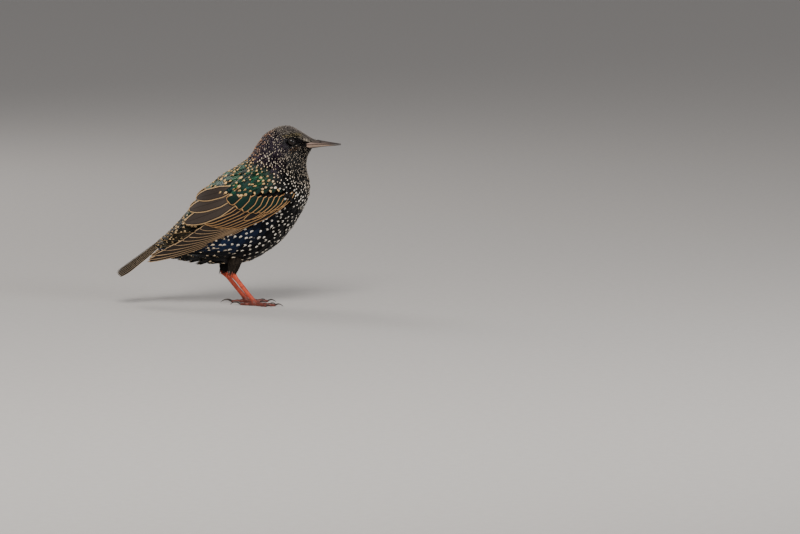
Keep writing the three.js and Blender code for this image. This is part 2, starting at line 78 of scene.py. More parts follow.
scene = bpy.context.scene
camera_data = bpy.data.cameras.new("camera")
camera_data.sensor_width = SENSOR_WIDTH
camera_data.lens = VIEW_DISTANCE / VIEW_WIDTH * SENSOR_WIDTH
camera = new_object("camera", camera_data)
tilt = math.radians(VIEW_HEIGHT)
camera.location = LOOK_AT + VIEW_DISTANCE * Vector((0, -math.cos(tilt), math.sin(tilt)))
camera.rotation_euler = (math.pi / 2 - tilt, 0, 0)
scene.camera = camera
print("lens", round(camera_data.lens), "mm")

# %% [markdown]
# ## Light
#
# Dark glossy feathers show their colour only where they mirror something bright, so a few large soft lamps do
# more than a bright sky: an even sky would lay the same grey film over every feather.

# %% Light
SKY_COLOUR, SKY_STRENGTH = (0.80, 0.79, 0.79, 1), 0.42
AIM = Vector((0.01, 0, 0.08))

world = bpy.data.worlds.new("daylight")
world.use_nodes = True
world.node_tree.nodes["Background"].inputs["Color"].default_value = SKY_COLOUR
world.node_tree.nodes["Background"].inputs["Strength"].default_value = SKY_STRENGTH
scene.world = world


def lamp(name, at, size, power, colour):
    data = bpy.data.lights.new(name, "AREA")
    data.size, data.energy, data.color = size, power, colour
    made = new_object(name, data)
    made.location = at
    made.rotation_euler = (AIM - Vector(at)).to_track_quat("-Z", "Y").to_euler()


lamp("key", (-0.15, -1.15, 1.25), 0.8, 24, (1.0, 0.97, 0.92))
lamp("front", (1.3, -0.8, 0.6), 0.6, 9, (0.95, 0.97, 1.0))
lamp("rim", (-0.9, 1.1, 1.0), 0.6, 9, (1.0, 0.95, 0.9))

# %% [markdown]
# ## Small tools
#
# A mesh is made in one go from arrays of points and faces. Values that a material needs at each point, such
# as a colour, are stored on the mesh under a name.


# %% Mesh tools
def make_mesh(name, points, faces, smooth=True):
    mesh = bpy.data.meshes.new(name)
    faces = faces.tolist() if isinstance(faces, np.ndarray) else faces
    mesh.from_pydata((np.asarray(points) * MM).tolist(), [], faces)
    mesh.polygons.foreach_set("use_smooth", [smooth] * len(mesh.polygons))
    mesh.update()
    return new_object(name, mesh)


def points_of(made):
    flat = np.empty(len(made.data.vertices) * 3)
    made.data.vertices.foreach_get("co", flat)
    return flat.reshape(-1, 3) / MM


def set_colours(mesh, name, values):
    layer = mesh.attributes.new(name, "FLOAT_COLOR", "POINT")
    layer.data.foreach_set("color", np.asarray(values, dtype=np.float32).ravel())


def set_numbers(mesh, name, values):
    layer = mesh.attributes.new(name, "FLOAT", "POINT")
    layer.data.foreach_set("value", np.asarray(values, dtype=np.float32).ravel())


def set_uv(mesh, name, at_points):
    layer = mesh.uv_layers.new(name=name)
    corners = np.empty(len(mesh.loops), dtype=np.int64)
    mesh.loops.foreach_get("vertex_index", corners)
    layer.data.foreach_set("uv", np.asarray(at_points, dtype=np.float32)[corners].ravel())


def stands_for(piece, slot, *nodes):
    """Ties a finished piece to the bird, and hides the solids that it takes the place of."""
    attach(piece, "root")
    if nodes:
        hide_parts(*nodes)
    print(piece.name, len(piece.data.polygons), "faces")


# %% Grids and lofts
def pairs(u, v):
    """Every pairing of two lists, as two arrays with a row for each value of the first."""
    return np.meshgrid(u, v, indexing="ij")


def turns(count):
    """Angles spaced evenly round a full turn."""
    return np.linspace(0, 2 * np.pi, count + 1)[:-1]


def sphere(polar, angle):
    """Points of a ball of radius 1, by the angle from its axis and the angle round it."""
    return np.stack([np.sin(polar) * np.cos(angle), np.sin(polar) * np.sin(angle), np.cos(polar)], axis=-1)


def grid_faces(across, along, count=1):
    """Faces of count separate grids of across x along points each, stored one after the other."""
    i, j = pairs(np.arange(along - 1), np.arange(across - 1))
    corner = (i * across + j).ravel()
    one = np.stack([corner, corner + 1, corner + across + 1, corner + across], axis=1)
    offsets = np.arange(count)[:, None, None] * across * along
    return (one[None] + offsets).reshape(-1, 4)


def loft(name, rings):
    """A closed skin over rings of points, with a flat cap at both ends and its faces turned outwards."""
    count, sides = rings.shape[:2]
    faces = []
    for r in range(count - 1):
        for k in range(sides):
            a, b = r * sides + k, r * sides + (k + 1) % sides
            faces.append((a, b, b + sides, a + sides))
    faces.append(tuple(range(sides))[::-1])
    faces.append(tuple((count - 1) * sides + k for k in range(sides)))
    points = rings.reshape(-1, 3)
    volume = sum(
        np.dot(points[f[0]], np.cross(points[f[i]], points[f[i + 1]]))
        for f in faces for i in range(1, len(f) - 1)
    )
    if volume < 0:
        faces = [f[::-1] for f in faces]
    return make_mesh(name, points, faces)


def applied(made):
    """Applies an object's modifiers to its mesh."""
    graph = bpy.context.evaluated_depsgraph_get()
    mesh = bpy.data.meshes.new_from_object(made.evaluated_get(graph))
    made.modifiers.clear()
    made.data = mesh
    return made


def joined(name, pieces):
    """One object from several, with their points and faces put together."""
    points, faces, start = [], [], 0
    for piece in pieces:
        own = points_of(piece)
        faces += [tuple(start + v for v in face.vertices) for face in piece.data.polygons]
        points.append(own)
        start += len(own)
        bpy.data.objects.remove(piece)
    return make_mesh(name, np.vstack(points), faces)


def remeshed(made, voxel, soften=2):
    """Melts crossing shells into one even skin."""
    modifier = made.modifiers.new("even", "REMESH")
    modifier.mode, modifier.voxel_size, modifier.use_smooth_shade = "VOXEL", voxel * MM, True
    smooth = made.modifiers.new("soften", "SMOOTH")
    smooth.iterations, smooth.factor = soften, 0.5
    return applied(made)


# %% Curves and steps
def mirror_side(points, side):
    """Points of the left side, moved to the side named."""
    return points * np.array([1, SIDES[side], 1])


def smoothstep(x, low, high):
    """0 at low and 1 at high, smoothly. It falls with x where low is the greater one."""
    t = np.clip((np.asarray(x, dtype=float) - low) / (high - low), 0, 1)
    return t * t * (3 - 2 * t)


def unit(v):
    return v / np.maximum(np.linalg.norm(v, axis=-1, keepdims=True), 1e-9)


def curve_at(points, t):
    """A smooth curve through points, with t from 0 to 1."""
    points = np.asarray(points, dtype=float)
    if points.ndim == 1:
        points = points[:, None]
    ends = np.vstack([2 * points[0] - points[1], points, 2 * points[-1] - points[-2]])
    at = np.clip(t, 0, 1) * (len(points) - 1)
    k = np.minimum(at.astype(int), len(points) - 2)
    w = (at - k)[..., None]
    p0, p1, p2, p3 = ends[k], ends[k + 1], ends[k + 2], ends[k + 3]
    v1, v2 = (p2 - p0) / 2, (p3 - p1) / 2
    return (2 * p1 - 2 * p2 + v1 + v2) * w**3 + (-3 * p1 + 3 * p2 - 2 * v1 - v2) * w**2 + v1 * w + p1


def straight(values, share):
    """A value along an evenly spaced list, with share from 0 to 1."""
    return np.interp(share, np.linspace(0, 1, len(values)), values)


def mix(a, b, share):
    return a + (b - a) * share


# %% [markdown]
# ## Shader tools
#
# A material is a small net of nodes. These calls make a node, fill its sockets and hand back its output, so
# that a net reads as one formula.


# %% Node builder
class Nodes:
    """Builds a node tree with short calls."""

    def __init__(self, tree):
        self.tree = tree

    def put(self, socket, value):
        if isinstance(value, bpy.types.NodeSocket):
            self.tree.links.new(value, socket)
        elif value is not None:
            socket.default_value = value

    def add(self, kind, *inputs, output=0, named=None, **settings):
        """A node with its first inputs in order, and others by their name or number."""
        made = self.tree.nodes.new(kind)
        for key, value in settings.items():
            setattr(made, key, value)
        for key, value in [*enumerate(inputs), *(named or {}).items()]:
            self.put(made.inputs[key], value)
        return made.outputs[output]

    def math(self, operation, a, b=0.0):
        return self.add("ShaderNodeMath", a, b, operation=operation)

    def times(self, a, b):
        return self.math("MULTIPLY", a, b)

    def ramp(self, value, low, high, start=0.0, end=1.0):
        """start below low and end above high, smoothly."""
        return self.add("ShaderNodeMapRange", value, low, high, start, end, interpolation_type="SMOOTHSTEP")

    def mix(self, factor, a, b):
        return self.add("ShaderNodeMix", output=2, named={0: factor, 6: a, 7: b}, data_type="RGBA")

    def scaled(self, colour, amount):
        return self.add("ShaderNodeVectorMath", colour, named={"Scale": amount}, operation="SCALE")

    def attribute(self, name, output):
        return self.add("ShaderNodeAttribute", output=output, attribute_name=name)

    def place(self):
        return self.add("ShaderNodeTexCoord", output=3)

    def noise(self, scale, detail=2.0, stretch=(1, 1, 1)):
        """Grain over the object's own place, in which stretch scales each direction."""
        at = self.add("ShaderNodeMapping", self.place(), None, None, stretch)
        return self.add("ShaderNodeTexNoise", at, None, scale, detail, 0.55)

    def bump(self, strength, distance, height):
        sizes = {"Strength": strength, "Distance": distance, "Height": height}
        return self.add("ShaderNodeBump", named=sizes)


SOCKETS = {"colour": "Base Color", "metal": "Metallic", "roughness": "Roughness", "normal": "Normal"}


def new_material(name, roughness, specular=0.5):
    material = bpy.data.materials.new(name)
    material.use_nodes = True
    surface = material.node_tree.nodes["Principled BSDF"]
    surface.inputs["Roughness"].default_value = roughness
    surface.inputs["Specular IOR Level"].default_value = specular
    return material, Nodes(material.node_tree), surface


def finish(n, surface, **values):
    """Gives the surface what its nodes have drawn."""
    for key, value in values.items():
        n.put(surface.inputs[SOCKETS[key]], value)


# %% [markdown]
# ## The floor
#
# A wide pale sheet of matt paper, with a faint grain, runs out of the picture on every side. It is there for
# the picture alone.

# %% Floor
FLOOR_HALF = 20000.0
FLOOR_PALE, FLOOR_SHADE = (0.50, 0.48, 0.465, 1), (0.48, 0.46, 0.445, 1)

corner = np.array([(-1, -1, 0), (1, -1, 0), (1, 1, 0), (-1, 1, 0)]) * FLOOR_HALF
floor = make_mesh("floor", corner, np.array([(0, 1, 2, 3)]), smooth=False)
paper, n, surface = new_material("pale paper", roughness=0.85, specular=0.2)
grain = n.ramp(n.noise(160.0, 4.0), 0.3, 0.7)
finish(n, surface, colour=n.mix(grain, FLOOR_PALE, FLOOR_SHADE), normal=n.bump(0.05, 0.0005, n.noise(300.0)))
floor.data.materials.append(paper)


# %% [markdown]
# ## The body's own surface
#
# The flesh is a row of slanting sections from the bill to the tail. A place on it is a station, 0 at the
# bill's base and 15 at the tail's, and an angle, 0 on the back and half a turn on the belly. The solids
# follow the same sections, so what is drawn here fits them.

# %% Body sections
BODY = [  # back line, belly line, half width, how far down it is widest
    ((75.0, 136.6), (70.2, 129.4), 2.9, 0.50),
    ((68.0, 139.2), (67.4, 126.0), 4.7, 0.52),
    ((59.3, 144.6), (65.6, 121.6), 8.9, 0.47),
    ((50.2, 148.6), (65.0, 116.8), 12.0, 0.44),
    ((40.3, 147.3), (65.3, 112.0), 13.6, 0.44),
    ((31.1, 141.8), (66.4, 107.1), 14.9, 0.46),
    ((24.1, 133.4), (67.5, 102.0), 16.8, 0.50),
    ((17.8, 123.6), (67.7, 96.2), 19.8, 0.54),
    ((8.6, 115.9), (66.2, 88.2), 23.2, 0.54),
    ((-3.7, 108.8), (61.2, 77.6), 25.8, 0.52),
    ((-17.8, 97.4), (53.0, 64.2), 26.6, 0.50),
    ((-29.5, 83.0), (40.0, 49.6), 25.4, 0.50),
    ((-41.1, 69.6), (16.5, 36.6), 21.2, 0.50),
    ((-50.4, 60.2), (-18.0, 36.2), 15.0, 0.50),
    ((-56.8, 54.6), (-38.6, 38.2), 10.8, 0.46),
    ((-61.8, 50.2), (-51.6, 41.2), 8.4, 0.42),
]
STATIONS = len(BODY) - 1
FLANK_ROUNDNESS = 0.9
BODY_TABLE = np.array([[*back, *belly, half, widest] for back, belly, half, widest in BODY])


def body_point(station, angle, grow=0.0):
    table = curve_at(BODY_TABLE, np.asarray(station) / STATIONS)
    back, belly, half, widest = table[..., 0:2], table[..., 2:4], table[..., 4], table[..., 5]
    down = belly - back
    grown = grow / np.linalg.norm(down, axis=-1)
    even = (1 - np.cos(angle)) / 2
    share = even + 4 * (widest - 0.5) * even * (1 - even)
    share = -grown + (1 + 2 * grown) * share
    side = np.sin(angle)
    y = (half + grow) * np.sign(side) * np.abs(side) ** FLANK_ROUNDNESS
    flat = back + down * share[..., None]
    return np.stack([flat[..., 0], y, flat[..., 1]], axis=-1)


def steps_of(surface, s, a):
    """How the surface moves for a step of its two numbers."""
    d = 1e-3
    along = (surface(s + d, a) - surface(s - d, a)) / (2 * d)
    return along, (surface(s, a + d) - surface(s, a - d)) / (2 * d)


def outward(surface, s, a):
    """The way the surface faces there."""
    return -unit(np.cross(*steps_of(surface, s, a)))


# %% Thighs
THIGH = {  # knee end inside the flank, then the ankle end, for the left side
    "right": ((7.5, 9, 44), (3.2, 9.6, 27.0)),
    "left": ((0.5, 9, 44), (-4.6, 9.6, 26.6)),
}
THIGH_TOP, THIGH_BOTTOM, THIGH_FLAT = 6.0, 3.3, 0.85
THIGH_TAPER, THIGH_REACH = (1.1, 0.8), 0.94


def thigh_surface(side, grow=0.0):
    """A thigh's surface, with station 0 at its top and 1 near the ankle."""
    top, bottom = (np.array(p, dtype=float) for p in THIGH[side])
    ahead = unit(bottom - top)
    deep = unit(np.cross(ahead, LEFTWARDS))
    wide = np.cross(deep, ahead)

    def point(station, angle):
        station, angle = np.broadcast_arrays(station, angle)
        full = np.clip((1 - station) * THIGH_TAPER[0], 0, 1) ** THIGH_TAPER[1]
        radius = mix(THIGH_BOTTOM, THIGH_TOP, full) + grow
        at = top + (bottom - top) * (station * THIGH_REACH)[..., None]
        at = at + deep * (radius * np.cos(angle))[..., None]
        at = at + wide * (radius * THIGH_FLAT * np.sin(angle))[..., None]
        return mirror_side(at, side)

    return point


# %% [markdown]
# ## The folded wing's sheet
#
# The wing lies on a curved sheet beside the trunk: along runs from the wrist to the wing tip, up across it.

# %% Wing sheet
WRIST = (46.7, 93.4)
WING_SLOPE = math.radians(26.2)
WING_STEP = 18
WING_BREADTH = [24.4, 27.4, 27.8, 26.2, 22.6, 19.0, 16.4, 14.8, 13.8]
CREST_UP = 2
CURL_DOWN, CURL_UP = (0.012, 0.02), (0.009, 0.034)
CURL_FROM, CURL_TO = 36, 80


def sheet_y(along, up):
    crest = curve_at(WING_BREADTH, along / (WING_STEP * (len(WING_BREADTH) - 1)))[..., 0]
    turn = smoothstep(along, CURL_FROM, CURL_TO)
    curl = np.where(up > CREST_UP, mix(*CURL_UP, turn), mix(*CURL_DOWN, turn))
    return crest - curl * (up - CREST_UP) ** 2


def sheet_point(along, up, lift, side):
    lean_along = sheet_y(along + 0.5, up) - sheet_y(along - 0.5, up)
    lean_up = sheet_y(along, up + 0.5) - sheet_y(along, up - 0.5)
    size = np.sqrt(lean_along**2 + lean_up**2 + 1)
    a, b = along - lift * lean_along / size, up - lift * lean_up / size
    x = WRIST[0] - a * math.cos(WING_SLOPE) - b * math.sin(WING_SLOPE)
    z = WRIST[1] - a * math.sin(WING_SLOPE) + b * math.cos(WING_SLOPE)
    return np.stack([x, SIDES[side] * (sheet_y(along, up) + lift / size), z], axis=-1)


def on_wing(points):
    """A point's place on the wing's sheet, seen from the side."""
    dx, dz = points[..., 0] - WRIST[0], points[..., 2] - WRIST[1]
    along = -dx * math.cos(WING_SLOPE) - dz * math.sin(WING_SLOPE)
    return along, -dx * math.sin(WING_SLOPE) + dz * math.cos(WING_SLOPE)


# %% [markdown]
# ## Where the coat lies over the wing
#
# On a folded wing the shoulder feathers hang over the upper coverts, and the breast feathers over the wrist.
# So the coat's surface swells out there until it clears the wing. The feathers whose tips lie above the
# edge named here follow that surface, and all others stay under the wing.

# %% Coat over the wing
COVER_LIFT = 5.0  # the coat's height over the wing's sheet
COVER_EDGE = [
    (-40, -40), (-4, -34), (3, -3), (7, 12.0), (14, 11.6), (24, 13), (33, 15.5), (44, 21), (54, 26), (70, 30),
]
COVER_FRONT, COVER_REAR = (-15, -3), (72, 56)
COVER_TOP, COVER_BOTTOM, COVER_MIDLINE = (35, 24), (-19, -7), (1, 9)


def coat_point(station, angle, over):
    """The body's surface, swollen over the wing by the share over."""
    here = body_point(station, angle)
    along, up = on_wing(here)
    share = smoothstep(along, *COVER_FRONT) * smoothstep(along, *COVER_REAR)
    share = share * smoothstep(up, *COVER_TOP) * smoothstep(up, *COVER_BOTTOM) * over
    y = here[..., 1]
    short = np.maximum(0, sheet_y(along, up) + COVER_LIFT - np.abs(y))
    rise = short * share * smoothstep(np.abs(y), *COVER_MIDLINE)
    here[..., 1] = y + np.sign(y) * rise
    return here


def is_over_wing(tips):
    """Whether a feather that ends here lies over the wing."""
    along, up = on_wing(tips)
    edge = np.interp(along, *np.array(COVER_EDGE).T)
    return ((up > edge) & (along < COVER_EDGE[-1][0])).astype(float)


# %% [markdown]
# ## Plumage material
#
# Every feather carries its dark colour, its mark's colour and its mark's size as named values, and a map in
# which one unit is a centimetre, measured from its shaft and from its tip. One node group draws from these
# the drop at the tip, the fringe, the shaft and the barbs. Each kind of feather uses it with its own sizes.

# %% Feather drawing group
GROUP_INPUTS = {"Barb Pitch": 0.42, "Streak": 0.3, "Mark Softness": 0.12}
GROUP_OUTPUTS = {"Color": "Color", "Gloss": "Float", "Marked": "Float", "Height": "Float"}
RIM_BLACK = (0.003, 0.003, 0.004, 1)
SHAFT_BLACK, SHAFT_BROWN = (0.006, 0.005, 0.004, 1), (0.1, 0.06, 0.03, 1)


def feather_group():
    tree = bpy.data.node_groups.new("feather drawing", "ShaderNodeTree")
    for name, value in GROUP_INPUTS.items():
        socket = tree.interface.new_socket(name, in_out="INPUT", socket_type="NodeSocketFloat")
        socket.default_value = value
    for name, kind in GROUP_OUTPUTS.items():
        tree.interface.new_socket(name, in_out="OUTPUT", socket_type="NodeSocket" + kind)
    n = Nodes(tree)
    given = tree.nodes.new("NodeGroupInput").outputs
    parts = n.add("ShaderNodeSeparateXYZ", n.add("ShaderNodeUVMap", uv_map="Vane"))
    across = n.times(n.math("ABSOLUTE", parts), 10.0)
    from_tip = n.times(parts.node.outputs[1], 10.0)
    shape = n.add("ShaderNodeSeparateColor", n.attribute("Shape", "Color"))
    drop_half, drop_length, fringe = (shape.node.outputs[i] for i in range(3))
    edge = n.attribute("Edge", "Fac")
    ragged = n.times(n.math("SUBTRACT", n.noise(900.0), 0.5), 0.5)

    # The drop at the tip: an oval reaching drop_length in from the tip
    x, t = n.math("DIVIDE", across, drop_half), n.math("DIVIDE", from_tip, drop_length)
    away = n.math("SQRT", n.math("ADD", n.math("POWER", x, 2.0), n.math("POWER", t, 2.0)))
    drop = n.ramp(n.math("ADD", away, n.times(ragged, 0.6)), 1.08, 0.84)
    # The fringe, and the black line that the real feathers have inside it
    rim = n.math("SUBTRACT", n.math("ADD", edge, n.times(ragged, 0.3)), fringe)
    fringed = n.ramp(n.math("DIVIDE", rim, given["Mark Softness"]), 1.0, -0.7)
    marked = n.math("MAXIMUM", drop, n.times(fringed, n.ramp(fringe, 0.01, 0.05)))
    shadow = n.times(n.ramp(rim, 1.1, 0.1), n.math("MINIMUM", n.times(fringe, 2.6), 0.9))
    # A feather with a drop is darker towards its edges: painted shade in the gaps between overlapping
    # feathers. Its gloss is less there too
    centre = n.ramp(n.math("DIVIDE", edge, drop_half), 0.1, 1.5, 0.25, 1.0)

    # Barbs run out from the shaft towards the tip
    slant = n.math("ADD", from_tip, n.times(across, 1.3))
    wave = n.math("SINE", n.times(n.math("DIVIDE", slant, given["Barb Pitch"]), 2 * math.pi))
    line = n.add("ShaderNodeCombineXYZ", n.times(slant, 0.7), n.times(across, 0.15))
    streak = n.add("ShaderNodeTexNoise", line, None, 1.6, 2.0)
    shaft = n.ramp(across, 0.24, 0.1)

    # The dark tone is dimmed towards the edges by the painted shade
    tone = n.mix(shadow, n.scaled(n.attribute("Tone", "Color"), centre), RIM_BLACK)
    tone = n.mix(n.times(shaft, 0.6), tone, SHAFT_BLACK)
    mark = n.mix(n.times(shaft, 0.25), n.attribute("Mark", "Color"), SHAFT_BROWN)
    share = n.times(n.math("SUBTRACT", streak, 0.5), given["Streak"])
    plain = n.math("SUBTRACT", 1.0, n.math("MAXIMUM", marked, shadow))
    drawn = {
        "Color": n.scaled(n.mix(marked, tone, mark), n.math("ADD", 1.0, share)),
        "Gloss": n.times(n.times(n.attribute("Tone", "Alpha"), centre), plain),
        "Marked": marked,
        "Height": n.math("ADD", n.times(wave, 0.5), n.times(shaft, 2.0)),
    }
    out = tree.nodes.new("NodeGroupOutput")
    for name, value in drawn.items():
        n.put(out.inputs[name], value)
    return tree


FEATHER_GROUP = feather_group()


# %% Plumage finishes
def plumage_material(name, roughness, specular, bump, **sizes):
    material, n, surface = new_material(name, roughness, specular)
    group = n.tree.nodes.new("ShaderNodeGroup")
    group.node_tree = FEATHER_GROUP
    for key, value in sizes.items():
        group.inputs[key.replace("_", " ")].default_value = value
    drawn = group.outputs
    rough = n.ramp(drawn["Marked"], 0.0, 1.0, roughness, roughness + 0.3)
    relief = n.bump(bump, 0.0001, drawn["Height"])
    finish(n, surface, colour=drawn["Color"], metal=drawn["Gloss"], roughness=rough, normal=relief)
    return material


body_plumage = plumage_material("body plumage", 0.36, 0.22, 0.35)
flight_plumage = plumage_material("flight plumage", 0.46, 0.2, 0.15, Barb_Pitch=0.6, Streak=0.4)
loose_plumage = plumage_material("loose plumage", 0.7, 0.1, 0.5, Streak=0.9)
print("feather group", len(FEATHER_GROUP.nodes), "nodes")


# %% [markdown]
# ## Colours
#
# The bird is glossy black, purple on the head, green on the back and blue along the flanks. Most feathers
# end in a pale mark: fine and close on the head, gold round the shoulders, white drops down the breast.


# %% Colour by place
def blend(amount, a, b):
    amount = np.asarray(amount)[..., None]
    return np.asarray(a) * (1 - amount) + np.asarray(b) * amount


def down_share(angle):
    """0 on the back and 1 on the belly, the same on both sides."""
    return (1 - np.cos(angle)) / 2


def spot(x, z, at, size, inner=0.6, outer=1.15):
    """1 inside an oval of the side view and 0 outside it."""
    return smoothstep(np.hypot((x - at[0]) / size[0], (z - at[1]) / size[1]), outer, inner)


PURPLE, BRONZE = (0.015, 0.006, 0.017), (0.020, 0.015, 0.008)
GREEN, TEAL = (0.008, 0.052, 0.022), (0.005, 0.030, 0.034)
NAVY, INK = (0.010, 0.022, 0.058), (0.004, 0.004, 0.005)
CROWN_BROWN, SOOT = (0.020, 0.016, 0.014), (0.007, 0.006, 0.006)
BROW_DARK, CHEEK_DARK, LORE_BLACK = (0.05, 0.038, 0.02), (0.05, 0.028, 0.015), (0.003, 0.002, 0.003)
WHITE, PALE, BUFF = (0.84, 0.78, 0.68), (0.70, 0.60, 0.48), (0.66, 0.46, 0.24)
GOLD, RUST, BROW_BUFF = (0.74, 0.47, 0.20), (0.46, 0.27, 0.14), (0.62, 0.50, 0.28)
NAPE_RUST, CROWN_STREAK = (0.55, 0.30, 0.18), (0.22, 0.19, 0.17)
VENT_BUFF = blend(0.7, WHITE, BUFF)

# Where a colour comes in: between two stations, then between two shares of the way down
CROWN = ((4.2, 2.8), (0.28, 0.08))
FRONT_TONES = [
    (PURPLE, (2.9, 4.4), (0.62, 0.38)), (CROWN_BROWN, *CROWN), (GREEN, (6.4, 7.6), (0.62, 0.3)),
    (INK, (5.6, 7.0), (0.3, 0.55)), (NAVY, (8.0, 10.0), (0.35, 0.5), (0.85, 0.6)),
]
TEAL_PATCHES = ((7.0, 8.6), (0.5, 0.2))
REAR_TONES = [(INK, (11.0, 13.0), (0.3, 0.7)), (BRONZE, (10.0, 12.0), (0.55, 0.3))]
MARKS = [
    (WHITE, (5.4, 7.4)), (NAPE_RUST, (3.4, 4.6), (0.16, 0.04)), (GOLD, (5.9, 7.0), (0.6, 0.34)),
    (BUFF, (8.4, 10.4), (0.5, 0.3)), (VENT_BUFF, (10.8, 12.0), (0.3, 0.5)), (CROWN_STREAK, *CROWN),
]
# Ovals of the side view: middle, half sizes, and where the edge starts to fade
CHEEK = ((57.5, 131.4), (4.4, 1.3))
LORE, EYE_RIM = ((62.0, 135.8), (8.5, 2.4), 0.7), ((53.0, 136.4), (4.8, 3.8), 0.8)


def body_colours(station, angle, place):
    """The dark colour with its gloss, the mark's colour and how bare of marks it is, at each root."""
    down = down_share(angle)
    x, z = place[..., 0], place[..., 2]

    def share_of(stations, *shares_down):
        share = smoothstep(station, *stations)
        for limits in shares_down:
            share = share * smoothstep(down, *limits)
        return share

    def layered(colour, layers):
        for over, *limits in layers:
            colour = blend(share_of(*limits), colour, over)
        return colour

    tone = layered(SOOT, FRONT_TONES)
    patch = 0.5 + 0.5 * np.sin(x * 0.35 + z * 0.23)
    tone = blend(patch * share_of(*TEAL_PATCHES), tone, TEAL)
    tone, mark = layered(tone, REAR_TONES), layered(PALE, MARKS)
    gloss = 0.25 + 0.35 * smoothstep(station, 4, 8) - 0.5 * smoothstep(station, 12, 14)
    brow = smoothstep(np.abs(z - 141.3 + (x - 56) * 0.12), 1.7, 0.7)
    brow = brow * smoothstep(x, 46, 51) * smoothstep(x, 65, 60)
    mark, tone = blend(brow, mark, BROW_BUFF), blend(brow * 0.6, tone, BROW_DARK)
    cheek = spot(x, z, *CHEEK)
    mark, tone = blend(cheek, mark, RUST), blend(cheek * 0.7, tone, CHEEK_DARK)
    lore = np.maximum(spot(x, z, *LORE), spot(x, z, *EYE_RIM))
    tone = blend(lore, tone, LORE_BLACK)
    bare = np.maximum(lore, share_of(*CROWN) * 0.85)
    return tone, np.clip(gloss, 0.05, 0.75) * (1 - 0.8 * lore), mark, bare


# Spacing of the feathers' tips, and the marks' half width and length, by station
SIZES_AT = [0, 1, 2.5, 4, 5, 6, 7, 8, 9, 10, 11, 12, 13, 14, 15]
PITCH_BACK = [0.75, 0.9, 1.15, 1.4, 1.6, 2.0, 3.0, 4.3, 5.0, 5.2, 5.0, 4.4, 4.0, 3.6, 3.0]
PITCH_BELLY = [0.75, 0.9, 1.2, 1.5, 1.6, 1.9, 2.3, 2.9, 3.5, 4.2, 5.0, 5.2, 4.8, 4.2, 3.6]
DROP_BACK = [0.12, 0.18, 0.27, 0.36, 0.44, 0.62, 0.92, 1.25, 1.4, 1.35, 1.25, 1.1, 1.0, 0.9, 0.8]
DROP_BELLY = [0.08, 0.10, 0.20, 0.30, 0.36, 0.46, 0.56, 0.68, 0.78, 0.88, 1.0, 1.15, 1.2, 1.1, 1.0]
DROP_STRETCH = ([0, 5, 8, 11, 15], [2.4, 2.2, 1.35, 1.3, 1.3])


def body_sizes(station, angle):
    """Spacing of the feathers' tips and the mark's half width and length."""
    down = down_share(angle)
    pitch = mix(np.interp(station, SIZES_AT, PITCH_BACK), np.interp(station, SIZES_AT, PITCH_BELLY), down)
    half = mix(np.interp(station, SIZES_AT, DROP_BACK), np.interp(station, SIZES_AT, DROP_BELLY), down)
    return pitch, half, half * np.interp(station, *DROP_STRETCH)


# %% [markdown]
# ## Feathers in bulk
#
# Roots are thrown over a surface with the spacing each place asks for. A feather is a small cambered sheet
# bent to the surface, sunk at its root and clear of it at its tip, so that each row lies over the next. They
# are made as arrays: the drawing of each needs its own root, colours and bend, all from one formula.

# %% Spread roots
ALONG = np.array([0.0, 0.22, 0.42, 0.58, 0.7, 0.8, 0.88, 0.95, 1.0])
ACROSS = np.linspace(-1, 1, 7)


def spread(places, spacing):
    """Keeps the places that are no nearer to an earlier kept one than their spacing."""
    cell = float(np.max(spacing))
    kept, cells = [], {}
    keys = np.floor(places / cell).astype(int)
    reach = [(i, j, k) for i in (-1, 0, 1) for j in (-1, 0, 1) for k in (-1, 0, 1)]
    for index in range(len(places)):
        key, place = keys[index], places[index]
        near = [m for r in reach for m in cells.get((key[0] + r[0], key[1] + r[1], key[2] + r[2]), ())]
        if near:
            gap = places[near] - place
            if np.min(np.einsum("ij,ij->i", gap, gap)) < spacing[index] ** 2:
                continue
        cells.setdefault(tuple(key), []).append(index)
        kept.append(index)
    return np.array(kept)


# %% Feather sheets
def outline(v, pointed):
    """Half width of a feather along it, as a share of its widest."""
    root = 0.5 + 0.5 * np.clip(v / 0.3, 0, 1)
    begins = 0.62 - 0.4 * pointed
    end = np.clip((v - begins) / (1 - begins), 0, 1)
    return root * np.maximum(0.04, np.sqrt(1 - end**2) * (1 - 0.5 * pointed * end))


PATCH = 0.003  # the size of each feather on the unwrap of the skin


